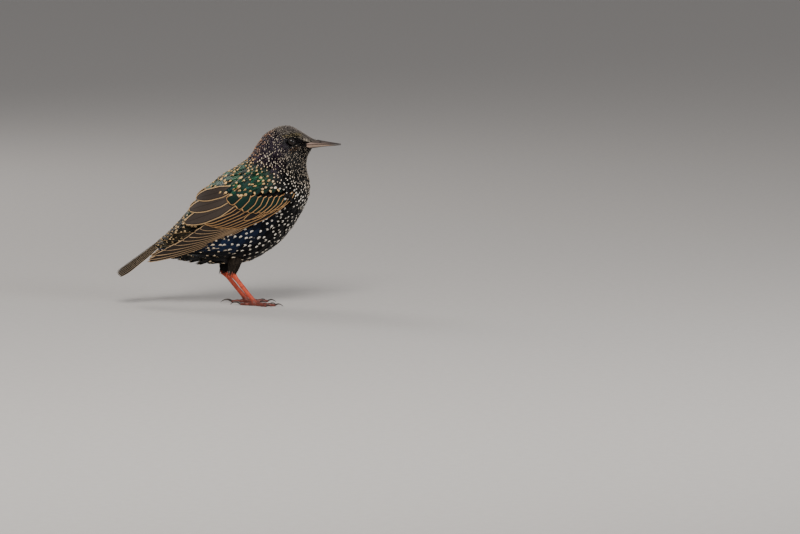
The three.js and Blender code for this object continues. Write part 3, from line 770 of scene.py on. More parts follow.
def feather_piece(name, surface, s, a, values, material):
    """One mesh of feathers rooted at stations s and angles a of a surface."""
    n, rows, columns = len(s), len(ALONG), len(ACROSS)
    each = lambda key: values[key][:, None, None]
    step_s, step_a = (np.linalg.norm(step, axis=-1) for step in steps_of(surface, s, a))
    v, u = ALONG[None, :, None], ACROSS[None, None, :]
    length, width = each("length"), each("width")
    half = width / 2 * outline(v, each("pointed")) * np.ones_like(u)
    frayed = 1 + (v > 0.75) * each("fray") * rng.standard_normal((n, 1, columns)) * (np.abs(u) < 0.95)
    out = length * (v * frayed + 0.03 * (1 - u**2) * v)
    s_at = s[:, None, None] + out / step_s[:, None, None]
    a_at = a[:, None, None] + (u * half + each("lean") * out) / np.maximum(step_a, 1.2)[:, None, None]
    lift = each("low") + (each("high") - each("low")) * v**0.8
    lift = lift - 0.10 * width * u**2 * (0.4 + v) + each("jitter") * v
    points = surface(s_at, a_at) + outward(surface, s_at, a_at) * lift[..., None] * values["facing"]
    made = make_mesh(name, points.reshape(-1, 3), grid_faces(columns, rows, n))
    mesh = made.data
    from_tip = (length - out) * np.ones_like(u)
    centre = values["unwrap"](s, a)[:, None, None]
    tile = np.broadcast_arrays(centre[..., 0] + u * PATCH / 2, centre[..., 1] + (v - 0.5) * PATCH)
    patch = np.stack(tile, axis=-1)
    set_uv(mesh, "OFBake", patch.reshape(-1, 2))
    set_uv(mesh, "Vane", np.stack([u * half, from_tip], axis=-1).reshape(-1, 2) / 10)
    set_numbers(mesh, "Edge", np.minimum((1 - np.abs(u)) * half, from_tip))
    spread_out = lambda rows_of: np.repeat(rows_of, rows * columns, axis=0)
    set_colours(mesh, "Tone", spread_out(np.c_[values["tone"], values["gloss"]]))
    set_colours(mesh, "Mark", spread_out(np.c_[values["mark"], np.ones(n)]))
    shape = np.c_[values["drop_half"], values["drop_length"], values["fringe"], np.ones(n)]
    set_colours(mesh, "Shape", spread_out(shape))
    mesh.materials.append(material)
    return made


# %% Unwraps for the bake
BODY_PART_OF_MAP = 0.8
THIGH_PART = {"right": 0.02, "left": 0.52}


def body_unwrap(s, a):
    turn = np.mod(a / (2 * np.pi), 1)
    return np.stack([0.02 + 0.96 * s / STATIONS, 0.02 + BODY_PART_OF_MAP * turn], axis=-1)


def thigh_unwrap(side):
    def unwrap(s, a):
        turn = np.mod(a / (2 * np.pi), 1)
        return np.stack([THIGH_PART[side] + 0.46 * s, 0.85 + 0.13 * turn], axis=-1)

    return unwrap


# %% [markdown]
# ## Skin
#
# One skin stands in for the solids of the head, neck, trunk and thighs. It lies inside them by the depth of
# the plumage, and carries the same colours, darker. The shells are melted into one by a voxel remesh.

# %% Skin shape
COAT_DEPTH = 1.5
THIGH_COAT = 0.9
SKIN_VOXEL = 0.9


def full_grid(last, count_s, count_a):
    return pairs(np.linspace(0, last, count_s), turns(count_a))


shells = [loft("trunk shell", body_point(*full_grid(STATIONS, 91, 64), -COAT_DEPTH))]
for side in SIDES:
    shells.append(loft(f"{side} thigh shell", thigh_surface(side, -THIGH_COAT)(*full_grid(1, 13, 32))))
skin = remeshed(joined("skin", shells), SKIN_VOXEL, 3)

# %% Skin colours and material
# The far (left) thigh gets the near thigh's brown darkened to near black: painted shade for the far side,
# under the body.
THIGH_BROWN, THIGH_PAINTED_SHADE = (0.034, 0.026, 0.020), (0.008, 0.007, 0.007)
THIGH_TONES_WITH_PAINTED_SHADE = {"right": THIGH_BROWN, "left": THIGH_PAINTED_SHADE}
SKIN_SHADE = 0.7  # how much darker the skin is than the feathers over it

sample_s, sample_a = (g.ravel() for g in full_grid(STATIONS, 151, 96))
samples = [body_point(sample_s, sample_a)]
sample_tones = [body_colours(sample_s, sample_a, samples[0])[0]]
sample_maps = [body_unwrap(sample_s, sample_a)]
for side in SIDES:
    limb_s, limb_a = (g.ravel() for g in full_grid(1, 25, 32))
    samples.append(thigh_surface(side)(limb_s, limb_a))
    # The far thigh's skin takes the near-black painted shade too.
    sample_tones.append(np.tile(THIGH_TONES_WITH_PAINTED_SHADE[side], (len(limb_s), 1)))
    sample_maps.append(thigh_unwrap(side)(limb_s, limb_a))
samples, sample_tones, sample_maps = (np.vstack(rows) for rows in (samples, sample_tones, sample_maps))
tree = kdtree.KDTree(len(samples))
for index, place in enumerate(samples):
    tree.insert(place, index)
tree.balance()
nearest = np.array([tree.find(p)[1] for p in points_of(skin)])
set_colours(skin.data, "Tone", np.c_[sample_tones[nearest] * SKIN_SHADE, np.ones(len(nearest))])
set_uv(skin.data, "OFBake", sample_maps[nearest])

skin_material, n, surface = new_material("skin and down", 0.85, 0.1)
down_grain = n.noise(1400.0, 3.0)
tone = n.scaled(n.attribute("Tone", "Color"), n.ramp(down_grain, 0.3, 0.7, 0.7, 1.3))
finish(n, surface, colour=tone, normal=n.bump(0.5, 0.0002, down_grain))
skin.data.materials.append(skin_material)
stands_for(skin, "plumage", "head", "neck", "torso", "right_thigh", "left_thigh")

# %% [markdown]
# ## Body feathers
#
# Small and hair-fine on the face, narrow hackles on the throat, and round scales on the back and breast.
# Where the coat hangs over the wing they are rooted on the swollen surface.

# %% Body feather roots
EYE_CLEAR = 3.0
ROOT_GAP = 0.84  # the least gap between roots, as a share of the spacing
EYES = {}
for side in SIDES:
    low, high = (np.array(corner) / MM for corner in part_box(f"{side}_eye"))
    EYES[side] = {"centre": (low + high) / 2, "radius": float((high - low).mean() / 2)}
BILL_BASE_SLOPE = ((62.6, 132.9), (74.6, 137.0), (69.0, 129.6))  # gape, where the ridge starts, chin


def clear_of_face(places):
    """Roots that are off the eyes and off the bill's base."""
    free = np.ones(len(places), dtype=bool)
    for eye in EYES.values():
        gap = np.linalg.norm((places - eye["centre"]) * np.array([1, 0.35, 1]), axis=1)
        free &= ~((gap < EYE_CLEAR) & (np.sign(places[:, 1]) == np.sign(eye["centre"][1])))
    gape, ridge, chin = BILL_BASE_SLOPE
    x, z = places[:, 0], places[:, 2]
    upper, lower = (gape[0] + (z - gape[1]) * (p[0] - gape[0]) / (p[1] - gape[1]) for p in (ridge, chin))
    at_gape = np.exp(-(((z - gape[1]) / 1.3) ** 2))
    return free & (x < np.where(z > gape[1], upper + 2.6 - 4.2 * at_gape, lower + 1.2 - 2.8 * at_gape))


def body_roots(tries=80000):
    s, a = rng.uniform(0.05, STATIONS, tries), rng.uniform(0, 2 * np.pi, tries)
    area = np.linalg.norm(np.cross(*steps_of(body_point, s, a)), axis=1)
    wanted = area / body_sizes(s, a)[0] ** 2
    chosen = rng.uniform(0, 1, tries) < wanted / wanted.max() * 4
    s, a = s[chosen], a[chosen]
    places = body_point(s, a)
    kept = spread(places, body_sizes(s, a)[0] * ROOT_GAP)
    kept = kept[clear_of_face(places[kept])]
    return s[kept], a[kept], places[kept]


body_s, body_a, body_places = body_roots()
print(len(body_s), "body feathers")


# %% Body feather values
def vary(n, amount):
    return 1 + amount * rng.standard_normal(n)


def body_values(s, a, places):
    n = len(s)
    tone, gloss, mark, bare = body_colours(s, a, places)
    pitch, drop_half, drop_length = body_sizes(s, a)
    narrow = smoothstep(s, 7.5, 5.0)
    down = down_share(a)
    rear = smoothstep(s, 10.0, 12.0) * smoothstep(down, 0.7, 0.45)
    fluffy = smoothstep(s, 11.0, 12.6) * smoothstep(down, 0.62, 0.85)
    size = np.clip(vary(n, 0.2), 0.5, 1.5) * (1 - bare)
    backward = smoothstep(s, 6, 8)
    own = np.clip(vary(n, 0.15 + 0.2 * backward), 0.3, 1.8)
    own = own * np.where(rng.uniform(0, 1, n) < 0.3 * backward, 0.35, 1)
    size = size * np.where(rng.uniform(0, 1, n) < 0.25 * narrow, 0.2, 1) * (1 - 0.45 * fluffy)
    return {
        "length": np.maximum(pitch * (2.7 + 0.6 * narrow + 0.8 * fluffy) * vary(n, 0.07), 1.6),
        "width": pitch * (1.75 - 0.5 * narrow) * vary(n, 0.06),
        "pointed": np.clip(0.25 + 0.65 * narrow - 0.15 * rear + 0.5 * fluffy, 0, 1),
        "lean": (0.05 + 0.25 * fluffy) * rng.standard_normal(n),
        "fray": 0.07 + 0.12 * fluffy,
        "low": np.full(n, -COAT_DEPTH * 0.9),
        "high": np.interp(s, [0, 1.5, 5, 9, 15], [0.0, 0.0, 0.15, 0.3, 0.2]) + 2.0 * fluffy,
        "jitter": (0.12 + 0.8 * fluffy) * rng.standard_normal(n),
        "facing": 1.0,
        "unwrap": body_unwrap,
        "tone": tone * own[:, None],
        "gloss": gloss * (1 - 0.8 * fluffy),
        "mark": mark * np.clip(vary(n, 0.12), 0.7, 1.3)[:, None],
        "drop_half": np.maximum(drop_half * size, 0.01),
        "drop_length": np.maximum(drop_length * size, 0.01),
        "fringe": 0.42 * rear * (1 - fluffy) + 0.16 * bare * (s < 4.4) * (down < 0.3),
    }


def pick(values, chosen):
    return {k: (v[chosen] if isinstance(v, np.ndarray) and v.ndim else v) for k, v in values.items()}


everything = body_values(body_s, body_a, body_places)
tip_steps = np.linalg.norm(steps_of(body_point, body_s, body_a)[0], axis=-1)
over_wing = is_over_wing(body_point(body_s + everything["length"] / tip_steps, body_a))


def coat_surface(over):
    """The coat's surface for feathers of which each has its own share over the wing."""

    def surface(s, a):
        return coat_point(s, a, over.reshape((-1,) + (1,) * (np.ndim(s) - 1)))

    return surface


# %% Body feather pieces
TRACTS = {
    "head_feathers": (0, 3.6),
    "nape_and_throat_feathers": (3.6, 6.2),
    "neck_feathers": (6.2, 8.2),
    "shoulder_feathers": (8.2, 10.6),
    "trunk_feathers": (10.6, 16),
}
for name, (first, last) in TRACTS.items():
    chosen = (body_s >= first) & (body_s < last)
    surface = coat_surface(over_wing[chosen])
    own_values = pick(everything, chosen)
    piece = feather_piece(name, surface, body_s[chosen], body_a[chosen], own_values, body_plumage)
    stands_for(piece, "plumage")

# %% [markdown]
# ## Thigh feathers
#
# Loose, hairy and unmarked, they hang down to the ankle like short trousers.

# %% Thigh feathers
THIGH_COUNT, THIGH_GAP = 560, 0.9
THIGH_SAME = dict(
    pointed=0.85, fray=0.16, low=-0.8, high=0.35, gloss=0.0, drop_half=0.01, drop_length=0.01, fringe=0.1,
)

for side in SIDES:
    limb = thigh_surface(side)
    tries = THIGH_COUNT * 3
    s, a = rng.uniform(0.12, 0.9, tries), rng.uniform(0, 2 * np.pi, tries)
    kept = spread(limb(s, a), np.full(tries, THIGH_GAP))[:THIGH_COUNT]
    s, a = s[kept], a[kept]
    count = len(s)
    # The far (left) thigh's feathers take the near-black painted shade.
    tone = np.array(THIGH_TONES_WITH_PAINTED_SHADE[side]) * vary(count, 0.25)[:, None]
    values = {
        "length": 5.4 * vary(count, 0.2), "width": 1.1 * vary(count, 0.2),
        "lean": 0.14 * rng.standard_normal(count), "jitter": 0.3 * rng.standard_normal(count),
        "facing": SIDES[side] * 1.0, "unwrap": thigh_unwrap(side), "tone": tone, "mark": tone * 1.8,
    }
    for key, value in THIGH_SAME.items():
        values[key] = np.full(count, value)
    stands_for(feather_piece(f"{side}_thigh_feathers", limb, s, a, values, loose_plumage), "plumage")

# %% [markdown]
# ## Wing feathers
#
# The rows are the solids' own. Each feather is a closed thin plate on the wing's sheet: primaries lowest,
# secondaries and tertials over them, and the coverts on top. The folded arm under them is a plain dark form.

# %% Wing rows
DUSK, WARM_DUSK = (0.012, 0.010, 0.010), (0.026, 0.019, 0.015)
COVERT_GREEN, TERTIAL_PLUM = (0.005, 0.024, 0.018), (0.055, 0.042, 0.035)
EDGE_GOLD, EDGE_BUFF, EDGE_RUST = (0.52, 0.34, 0.17), (0.44, 0.29, 0.16), (0.52, 0.29, 0.12)
NO_DROP = (0.01, 0.01)
WING_ROWS = [
    dict(name="primaries", roots=[(4, -3.6), (34, 0)], bow=(4.2, 1.2), width=(9.4, 9.4), lift=(0.2, 1.5),
         tips=[(126, -0.9), (124.5, 0.6), (119, 1.6), (109.4, 2), (99.5, 2.1), (92, 2.6), (86, 3.4),
               (80, 4.4), (74, 5)],
         pointed=0.75, tone=WARM_DUSK, gloss=0.1, mark=EDGE_BUFF, fringe=0.5, drop=NO_DROP),
    dict(name="secondaries", roots=[(4, -6.4), (30, 10.6)], bow=(1.0, 0.4), width=(9, 9.6), lift=(1.7, 2.8),
         tips=[(52, -3.4), (56, -1.4), (60, 0.8), (63.4, 3), (66.4, 5.2), (69, 7.5), (71.4, 9.8), (73.4, 12)],
         pointed=0.3, tone=DUSK, gloss=0.15, mark=EDGE_RUST, fringe=0.52, drop=NO_DROP),
    dict(name="tertials", roots=[(38, 12), (33, 22)], bow=(0.6, -0.6), width=(11, 9.6), lift=(3.0, 3.5),
         tips=[(84, 13.2), (76.4, 20), (66.4, 25.6)],
         pointed=0.6, tone=TERTIAL_PLUM, gloss=0.35, mark=EDGE_GOLD, fringe=0.65, drop=NO_DROP),
    dict(name="primary coverts", roots=[(2, -2.6), (16, -1.4)], bow=(1, 0.4), width=(4.4, 5),
         lift=(2.3, 2.95), tips=[(20, -6.3), (25, -5.9), (30, -5.2), (34.5, -4.4), (38.5, -3.4)],
         pointed=0.6, tone=DUSK, gloss=0.2, mark=EDGE_RUST, fringe=0.4, drop=NO_DROP),
    dict(name="greater coverts", roots=[(-8, -1.4), (2, 0.1), (11.1, 3.4), (19.2, 8), (27, 19)],
         bow=(0.8, 0.5), width=(5.4, 8), lift=(3.1, 4.5),
         tips=[(8, -5.2), (12.6, -5.2), (17, -4.2), (21.2, -3), (25.2, -1.5), (29, 0.2), (32.6, 2.2),
               (36, 4.8), (39.2, 8.4), (43, 14)],
         pointed=0.05, tone=COVERT_GREEN, gloss=0.5, mark=EDGE_RUST, fringe=0.52, drop=(2.0, 0.9)),
    dict(name="median coverts", roots=[(-3.4, 9), (20, 22)], bow=(0.6, 0.4), width=(6.0, 6.4),
         lift=(3.6, 4.6), tips=[(3.4, 5.6), (9.6, 7.6), (15.6, 9.9), (21.6, 11.8), (27.8, 13.3), (34, 15.4)],
         pointed=0.2, tone=COVERT_GREEN, gloss=0.5, mark=GOLD, fringe=0.02, drop=(1.2, 1.6)),
    dict(name="alula", roots=[(-1.5, 0.5), (-1.5, 0.5)], bow=(1, 1), width=(4, 4), lift=(3.05, 3.05),
         tips=[(15, -5.9)], pointed=0.5, tone=DUSK, gloss=0.2, mark=EDGE_RUST, fringe=0.35, drop=NO_DROP),
]
VANE_THICKNESS = 0.14
SHAFT_RISE, SHAFT_HALF = 0.12, 0.35
CAMBER = 0.001
LONG_ALONG = 1 - (1 - np.linspace(0, 1, 26)) ** 1.35
LONG_ACROSS = np.linspace(-1, 1, 11)
print("wing rows:", ", ".join(f"{len(row['tips'])} {row['name']}" for row in WING_ROWS))


# %% Outline of a long feather
def long_outline(v, pointed):
    """Half width along a long feather: full nearly to its end when blunt, drawn out when pointed."""
    begins = mix(0.86, 0.5, pointed)
    end = np.clip((v - begins) / (1 - begins), 0, 1)
    root = mix(0.45, 1, np.clip(v / 0.35, 0, 1))
    return root * np.maximum(0.04, np.sqrt(1 - end**2.4) * (1 - 0.45 * pointed * end))


# %% Long feathers as plates
class Plates:
    """Collects closed thin plates and makes one mesh of them."""

    def __init__(self):
        self.points, self.plates = [], []

    def add(self, place, length, width, row, tone):
        v, u = pairs(LONG_ALONG, LONG_ACROSS)
        half = width / 2 * long_outline(v, row["pointed"])
        across = u * half
        frayed = 1 + 0.006 * rng.standard_normal(len(LONG_ACROSS)) * (np.abs(LONG_ACROSS) < 0.95) * (v > 0.9)
        shaft = SHAFT_RISE * np.exp(-((across / SHAFT_HALF) ** 2)) * (1 - v)
        top = place(v * frayed, across, shaft - CAMBER * across**2)
        bottom = place(v * frayed, across, -VANE_THICKNESS * (1 - 0.6 * np.abs(u)) - CAMBER * across**2)
        self.points.append(np.stack([top, bottom]))
        edge = np.minimum((1 - np.abs(u)) * half, (1 - v) * length)
        vane = np.stack([across, (1 - v) * length], axis=-1) / 10
        self.plates.append(dict(edge=edge, vane=vane, u=u, v=v, row=row, tone=tone))

    def faces(self, rows, across):
        """Top, bottom and the walls between them, for every plate."""
        per_sheet = rows * across
        top = grid_faces(across, rows)
        rim = [*range(across), *range(2 * across - 1, per_sheet, across)]
        rim += [*range(per_sheet - 2, per_sheet - across - 1, -1), *range(per_sheet - 2 * across, 0, -across)]
        rim = np.array(rim)
        ahead = np.roll(rim, -1)
        walls = np.stack([ahead, rim, rim + per_sheet, ahead + per_sheet], axis=1)
        one = np.vstack([top, (top + per_sheet)[:, ::-1], walls])
        return (one[None] + np.arange(len(self.points))[:, None, None] * 2 * per_sheet).reshape(-1, 4)

    def maps(self, columns=8):
        """One tile of the bake's map for each side of each plate."""
        tile_rows = math.ceil(len(self.plates) * 2 / columns)
        patches = []
        for index, plate in enumerate(self.plates):
            inside = np.stack([0.5 + 0.46 * plate["u"], 0.04 + 0.92 * plate["v"]], axis=-1).reshape(-1, 2)
            for spot_index in (index * 2, index * 2 + 1):
                corner = np.array([spot_index % columns, spot_index // columns])
                patches.append((corner + inside) / np.array([columns, tile_rows]))
        return np.concatenate(patches)

    def build(self, name, material, flip):
        rows, across = len(LONG_ALONG), len(LONG_ACROSS)
        faces = self.faces(rows, across)
        made = make_mesh(name, np.stack(self.points).reshape(-1, 3), faces[:, ::-1] if flip else faces)
        mesh = made.data
        both = lambda value: np.concatenate([np.tile(value(plate), (2, 1)) for plate in self.plates])
        wide = lambda values: np.tile(np.asarray(values, dtype=float), (rows * across, 1))
        set_uv(mesh, "OFBake", self.maps())
        set_uv(mesh, "Vane", both(lambda p: p["vane"].reshape(-1, 2)))
        set_numbers(mesh, "Edge", both(lambda p: p["edge"].reshape(-1, 1)))
        set_colours(mesh, "Tone", both(lambda p: wide([*p["tone"], p["row"]["gloss"]])))
        set_colours(mesh, "Mark", both(lambda p: wide([*p["row"]["mark"], 1])))
        set_colours(mesh, "Shape", both(lambda p: wide([*p["row"]["drop"], p["row"]["fringe"], 1])))
        mesh.materials.append(material)
        return made


# %% Place of a wing feather
def wing_place(root, tip, bow, lift, side):
    """Turns a place on a feather into one beside the trunk."""
    step = np.array(tip, dtype=float) - root
    reach = np.linalg.norm(step)

    def place(q, across, height):
        sag = -4 * bow * q * (1 - q)
        turn = -4 * bow * (1 - 2 * q) / reach
        side_a = -step[1] / reach - turn * step[0] / reach
        side_b = step[0] / reach - turn * step[1] / reach
        along = root[0] + step[0] * q - sag * step[1] / reach + side_a * across
        up = root[1] + step[1] * q + sag * step[0] / reach + side_b * across
        return sheet_point(along, up, lift + height, side)

    return place


# %% Folded arm
ARM = dict(start=(-4.5, 1.5), end=(52, 9), width=21, depth=8.4, lift=1.1)


def arm_rings(side, rings=22, sides=32):
    q, angle = pairs(np.linspace(0, 1, rings), turns(sides))
    full = np.sqrt(np.maximum(0.02, 1 - (2 * q - 1) ** 2))
    height = np.where(np.sin(angle) > 0, ARM["lift"] * full, ARM["depth"]) * np.sin(angle)
    along = mix(ARM["start"][0], ARM["end"][0], q)
    up = mix(ARM["start"][1], ARM["end"][1], q) + ARM["width"] / 2 * full * np.cos(angle)
    return sheet_point(along, up, height, side)


# %% Build both wings
for side in SIDES:
    plates = Plates()
    for row in WING_ROWS:
        count = len(row["tips"])
        for i in range(count):
            share = i / max(1, count - 1)
            root = np.array([straight([p[k] for p in row["roots"]], share) for k in (0, 1)])
            tip = np.array(row["tips"][i], dtype=float)
            bow, width, lift = (straight(row[key], share) for key in ("bow", "width", "lift"))
            tone = np.array(row["tone"]) * (1 + 0.1 * rng.standard_normal())
            place = wing_place(root, tip, bow, lift, side)
            plates.add(place, float(np.linalg.norm(tip - root)), width, row, tone)
    wing = plates.build(f"{side}_wing_feathers", flight_plumage, side == "right")
    stands_for(wing, "wing_feathers", f"{side}_wing")
    arm = loft(f"{side}_wing_arm", arm_rings(side))
    set_colours(arm.data, "Tone", np.tile((*DUSK, 1), (len(arm.data.vertices), 1)))
    arm.data.materials.append(skin_material)
    stands_for(arm, "wing_feathers")

# %% [markdown]
# ## Tail feathers
#
# The closed tail is a low roof of twelve feathers, each a step under its inner neighbour, dark with pale
# edges.

# %% Tail
TAIL_ROOT, TAIL_TIP = np.array([-56.5, 54.2]), np.array([-93.1, 27.4])
TAIL_PAIRS, TAIL_WIDTH, TAIL_ROOF, TAIL_PITCH, TAIL_NOTCH = 6, 10.5, 0.016, 0.7, 1.2
TAIL_SPREAD = (0.8, 1.7)
TAIL_ROW = dict(pointed=0.35, gloss=0.12, mark=(0.40, 0.30, 0.20), fringe=0.4, drop=NO_DROP)
TAIL_TONE = np.array((0.022, 0.017, 0.014))
tail_step = TAIL_TIP - TAIL_ROOT
tail_length = float(np.linalg.norm(tail_step))
tail_ahead = tail_step / tail_length


def tail_place(own, at, under):
    def place(q, across, height):
        y = at * mix(*TAIL_SPREAD, q) + across
        up = under + height - TAIL_ROOF * y**2
        x = TAIL_ROOT[0] + tail_ahead[0] * own * q + tail_ahead[1] * up
        z = TAIL_ROOT[1] + tail_ahead[1] * own * q - tail_ahead[0] * up
        return np.stack([x, y, z], axis=-1)

    return place


plates = Plates()
for sign in (-1, 1):
    for pair in range(TAIL_PAIRS):
        own = tail_length - (TAIL_NOTCH if pair == 0 else 0) - max(0, 0.6 * (pair - 3))
        under = -TAIL_PITCH * (pair + (0.4 if sign > 0 else 0))
        tone = TAIL_TONE * (1 + 0.12 * rng.standard_normal())
        plates.add(tail_place(own, sign * (pair + 0.5), under), own, TAIL_WIDTH, TAIL_ROW, tone)
stands_for(plates.build("tail_feathers", flight_plumage, False), "tail_feathers", "tail")

# %% [markdown]
# ## Eyes and lids
#
# A starling's eye is a dark brown bead with a black pupil and a wet gleam, in a thin ring of dark bare lid. A
# ball with rings close together at the front carries both iris and cornea.

# %% Eyes
EYE_RINGS, EYE_SIDES = 24, 32
IRIS_FROM, IRIS_TO = 0.24, 0.52  # the iris between these shares of the way round from the front
IRIS_BROWN, PUPIL_BLACK = (0.010, 0.0045, 0.0025, 1), (0.002, 0.002, 0.002, 1)
LID_RADIUS, LID_THICKNESS, LID_SLIT = 2.55, 0.4, 0.86
LID_SIDES, LID_ROUND = 48, 12  # points round the eye, and round the rim's own thickness
LID_DARK, LID_PALE = (0.004, 0.003, 0.003, 1), (0.014, 0.011, 0.010, 1)

eye_material, n, surface = new_material("wet eye", 0.12, 0.2)
front = n.attribute("Round", "Fac")
fibres = n.noise(2600.0, 3.0)
iris = n.scaled(IRIS_BROWN[:3], n.ramp(fibres, 0.3, 0.7, 0.6, 1.5))
inside = n.mix(n.ramp(front, IRIS_FROM - 0.03, IRIS_FROM + 0.02), PUPIL_BLACK, iris)
finish(n, surface, colour=n.mix(n.ramp(front, IRIS_TO - 0.05, IRIS_TO), inside, PUPIL_BLACK))
surface.inputs["Coat Weight"].default_value = 0.25
surface.inputs["Coat Roughness"].default_value = 0.02

lid_material, n, surface = new_material("lid skin", 0.55, 0.3)
lid_tone = n.mix(n.noise(1500.0), LID_DARK, LID_PALE)
finish(n, surface, colour=lid_tone, normal=n.bump(0.5, 0.0001, n.noise(3500.0)))


def gaze(centre):
    """The way an eye faces: straight out of the head's surface there."""
    s, a = (g.ravel() for g in full_grid(5, 60, 96))
    index = np.argmin(np.linalg.norm(body_point(s, a) - centre, axis=1))
    return outward(body_point, s[index], a[index])


def turned(points, out):
    """Points drawn round +Z, turned so that +Z faces out."""
    turn = np.array(Vector((0, 0, 1)).rotation_difference(Vector(out)).to_matrix())
    return points @ turn.T


def ring_faces(around, across):
    """Faces of a ring that is closed both ways."""
    i, j = (g.ravel() for g in pairs(np.arange(around), np.arange(across)))
    here, ahead = i * across, (i + 1) % around * across
    beside = (j + 1) % across
    return np.stack([here + j, ahead + j, ahead + beside, here + beside], axis=1)


for side, eye in EYES.items():
    out = gaze(eye["centre"])
    q, angle = pairs(np.linspace(0.01, 0.99, EYE_RINGS) ** 1.3, turns(EYE_SIDES))
    ball = sphere(q * np.pi, angle)
    made = loft(f"{side}_eye_ball", eye["centre"] + eye["radius"] * turned(ball, out))
    set_numbers(made.data, "Round", np.repeat(q[:, 0] * 2, EYE_SIDES))
    made.data.materials.append(eye_material)
    stands_for(made, "eyes", f"{side}_eye")
    around, across = pairs(turns(LID_SIDES), turns(LID_ROUND))
    ring = LID_RADIUS + LID_THICKNESS * np.cos(across)
    height = math.sqrt(eye["radius"] ** 2 - LID_RADIUS**2) + LID_THICKNESS * (0.2 + np.sin(across))
    lid = np.stack([ring * np.cos(around), ring * np.sin(around) * LID_SLIT, height], axis=-1)
    points = (eye["centre"] + turned(lid, out)).reshape(-1, 3)
    made = make_mesh(f"{side}_eyelid", points, ring_faces(LID_SIDES, LID_ROUND))
    made.data.materials.append(lid_material)
    stands_for(made, "plumage")

# %% [markdown]
# ## Bill
#
# Two tapering halves meet along the line of the mouth. Horn is dark on the ridge and the tip, and pale along
# the cutting edges near the base, with fine grain that runs forward.

# %% Bill halves
BILL = dict(zip(("gape", "culmen", "chin"), BILL_BASE_SLOPE), tip=(93.4, 133.2), gonys=0.32)
GONYS_Z, BILL_HALF, BILL_TIP_HALF, MOUTH_GAP = 130.9, 5.5, 0.3, 0.3
TIP_UP, TIP_DOWN = 0.5, 0.75
BILL_RINGS, BILL_SIDES = 70, 44
NOSTRIL = dict(x=76.4, z=135.3, length=1.5, height=0.45, depth=0.9)
HORN_DARK, HORN_MID = np.array((0.018, 0.013, 0.011)), np.array((0.062, 0.045, 0.038))
HORN_PINK, HORN_BUFF = np.array((0.36, 0.25, 0.20)), np.array((0.30, 0.21, 0.155))


def lower_ridge(q):
    gonys = BILL["gonys"]
    first = mix(BILL["chin"][1], GONYS_Z, q / gonys)
    return np.where(q < gonys, first, mix(GONYS_Z, BILL["tip"][1] - TIP_DOWN, (q - gonys) / (1 - gonys)))


def bill_half(upper):
    """Rings of one half, with its place along and round, both from 0 to 1."""
    q, turn = pairs(np.linspace(0, 1, BILL_RINGS) ** 0.9, np.linspace(0, np.pi, BILL_SIDES))
    base = BILL["culmen"] if upper else BILL["chin"]
    lifted = np.abs(np.sin(turn)) ** 0.8
    edge = mix(BILL["gape"][1], BILL["tip"][1], q) + (MOUTH_GAP / 2 if upper else -MOUTH_GAP / 2)
    rise = mix(base[1], BILL["tip"][1] + TIP_UP, q**0.85) if upper else lower_ridge(q)
    half = (BILL_HALF - BILL_TIP_HALF) * (1 - q) ** 1.15 + BILL_TIP_HALF
    x = mix(mix(BILL["gape"][0], BILL["tip"][0], q), mix(base[0], BILL["tip"][0], q), lifted)
    return np.stack([x, half * np.cos(turn), mix(edge, rise, lifted)], axis=-1), q, lifted


def horn_colour(upper, q, lifted):
    dark_tip = smoothstep(q, 0.55, 0.95)
    if upper:
        wedge = smoothstep(lifted, 0.62 - 0.45 * q, 0.3 - 0.25 * q) * smoothstep(q, 0.85, 0.5)
        tone = blend(wedge, HORN_MID, HORN_PINK)
        tone = blend(smoothstep(lifted, 0.82, 0.98), tone, HORN_DARK)
    else:
        tone = blend(smoothstep(lifted, 0.5, 0.9), HORN_BUFF, HORN_MID)
    tone = blend(dark_tip, tone, HORN_DARK * 1.5)
    # Along the mouth line, where the halves meet, the horn is darkened: painted shade in the gap between
    # them.
    return blend(smoothstep(lifted, 0.12, 0.02), tone, HORN_DARK * 0.5)


# %% Horn material
horn, n, surface = new_material("horn", 0.32, 0.4)
along_grain = n.noise(260.0, 4.0, (0.25, 1.0, 2.2))
tone = n.scaled(n.attribute("Tone", "Color"), n.ramp(along_grain, 0.3, 0.7, 0.7, 1.2))
rough = n.ramp(along_grain, 0.3, 0.7, 0.26, 0.45)
finish(n, surface, colour=tone, roughness=rough, normal=n.bump(0.25, 0.0001, along_grain))

for name, upper in (("upper_bill", True), ("lower_bill", False)):
    rings, q, lifted = bill_half(upper)
    tone = horn_colour(upper, q, lifted)
    if upper:
        middle, size = (NOSTRIL["x"], NOSTRIL["z"]), (NOSTRIL["length"], NOSTRIL["height"])
        hollow = spot(rings[..., 0], rings[..., 2], middle, size, 0.3, 1.1)
        depth = NOSTRIL["depth"]
        rings[..., 1] *= 1 - hollow * depth / np.maximum(np.abs(rings[..., 1]), depth * 1.2)
        # The nostril's hollow is darkened: painted shade in the recess.
        tone = blend(hollow, tone, HORN_DARK * 0.4)
    made = loft(name + "_horn", rings)
    set_colours(made.data, "Tone", np.c_[tone.reshape(-1, 3), np.ones(tone.size // 3)])
    made.data.materials.append(horn)
    stands_for(made, "bill", name)

# %% [markdown]
# ## Legs and feet
#
# A shank with a knobbed ankle runs down to a ball from which four toes leave, three forwards and one back.
# The tubes cross each other, so a voxel remesh melts them into one leg, and all that would pass the floor is
# pressed flat. Overlapping scutes run down the front of the shank and over each toe.

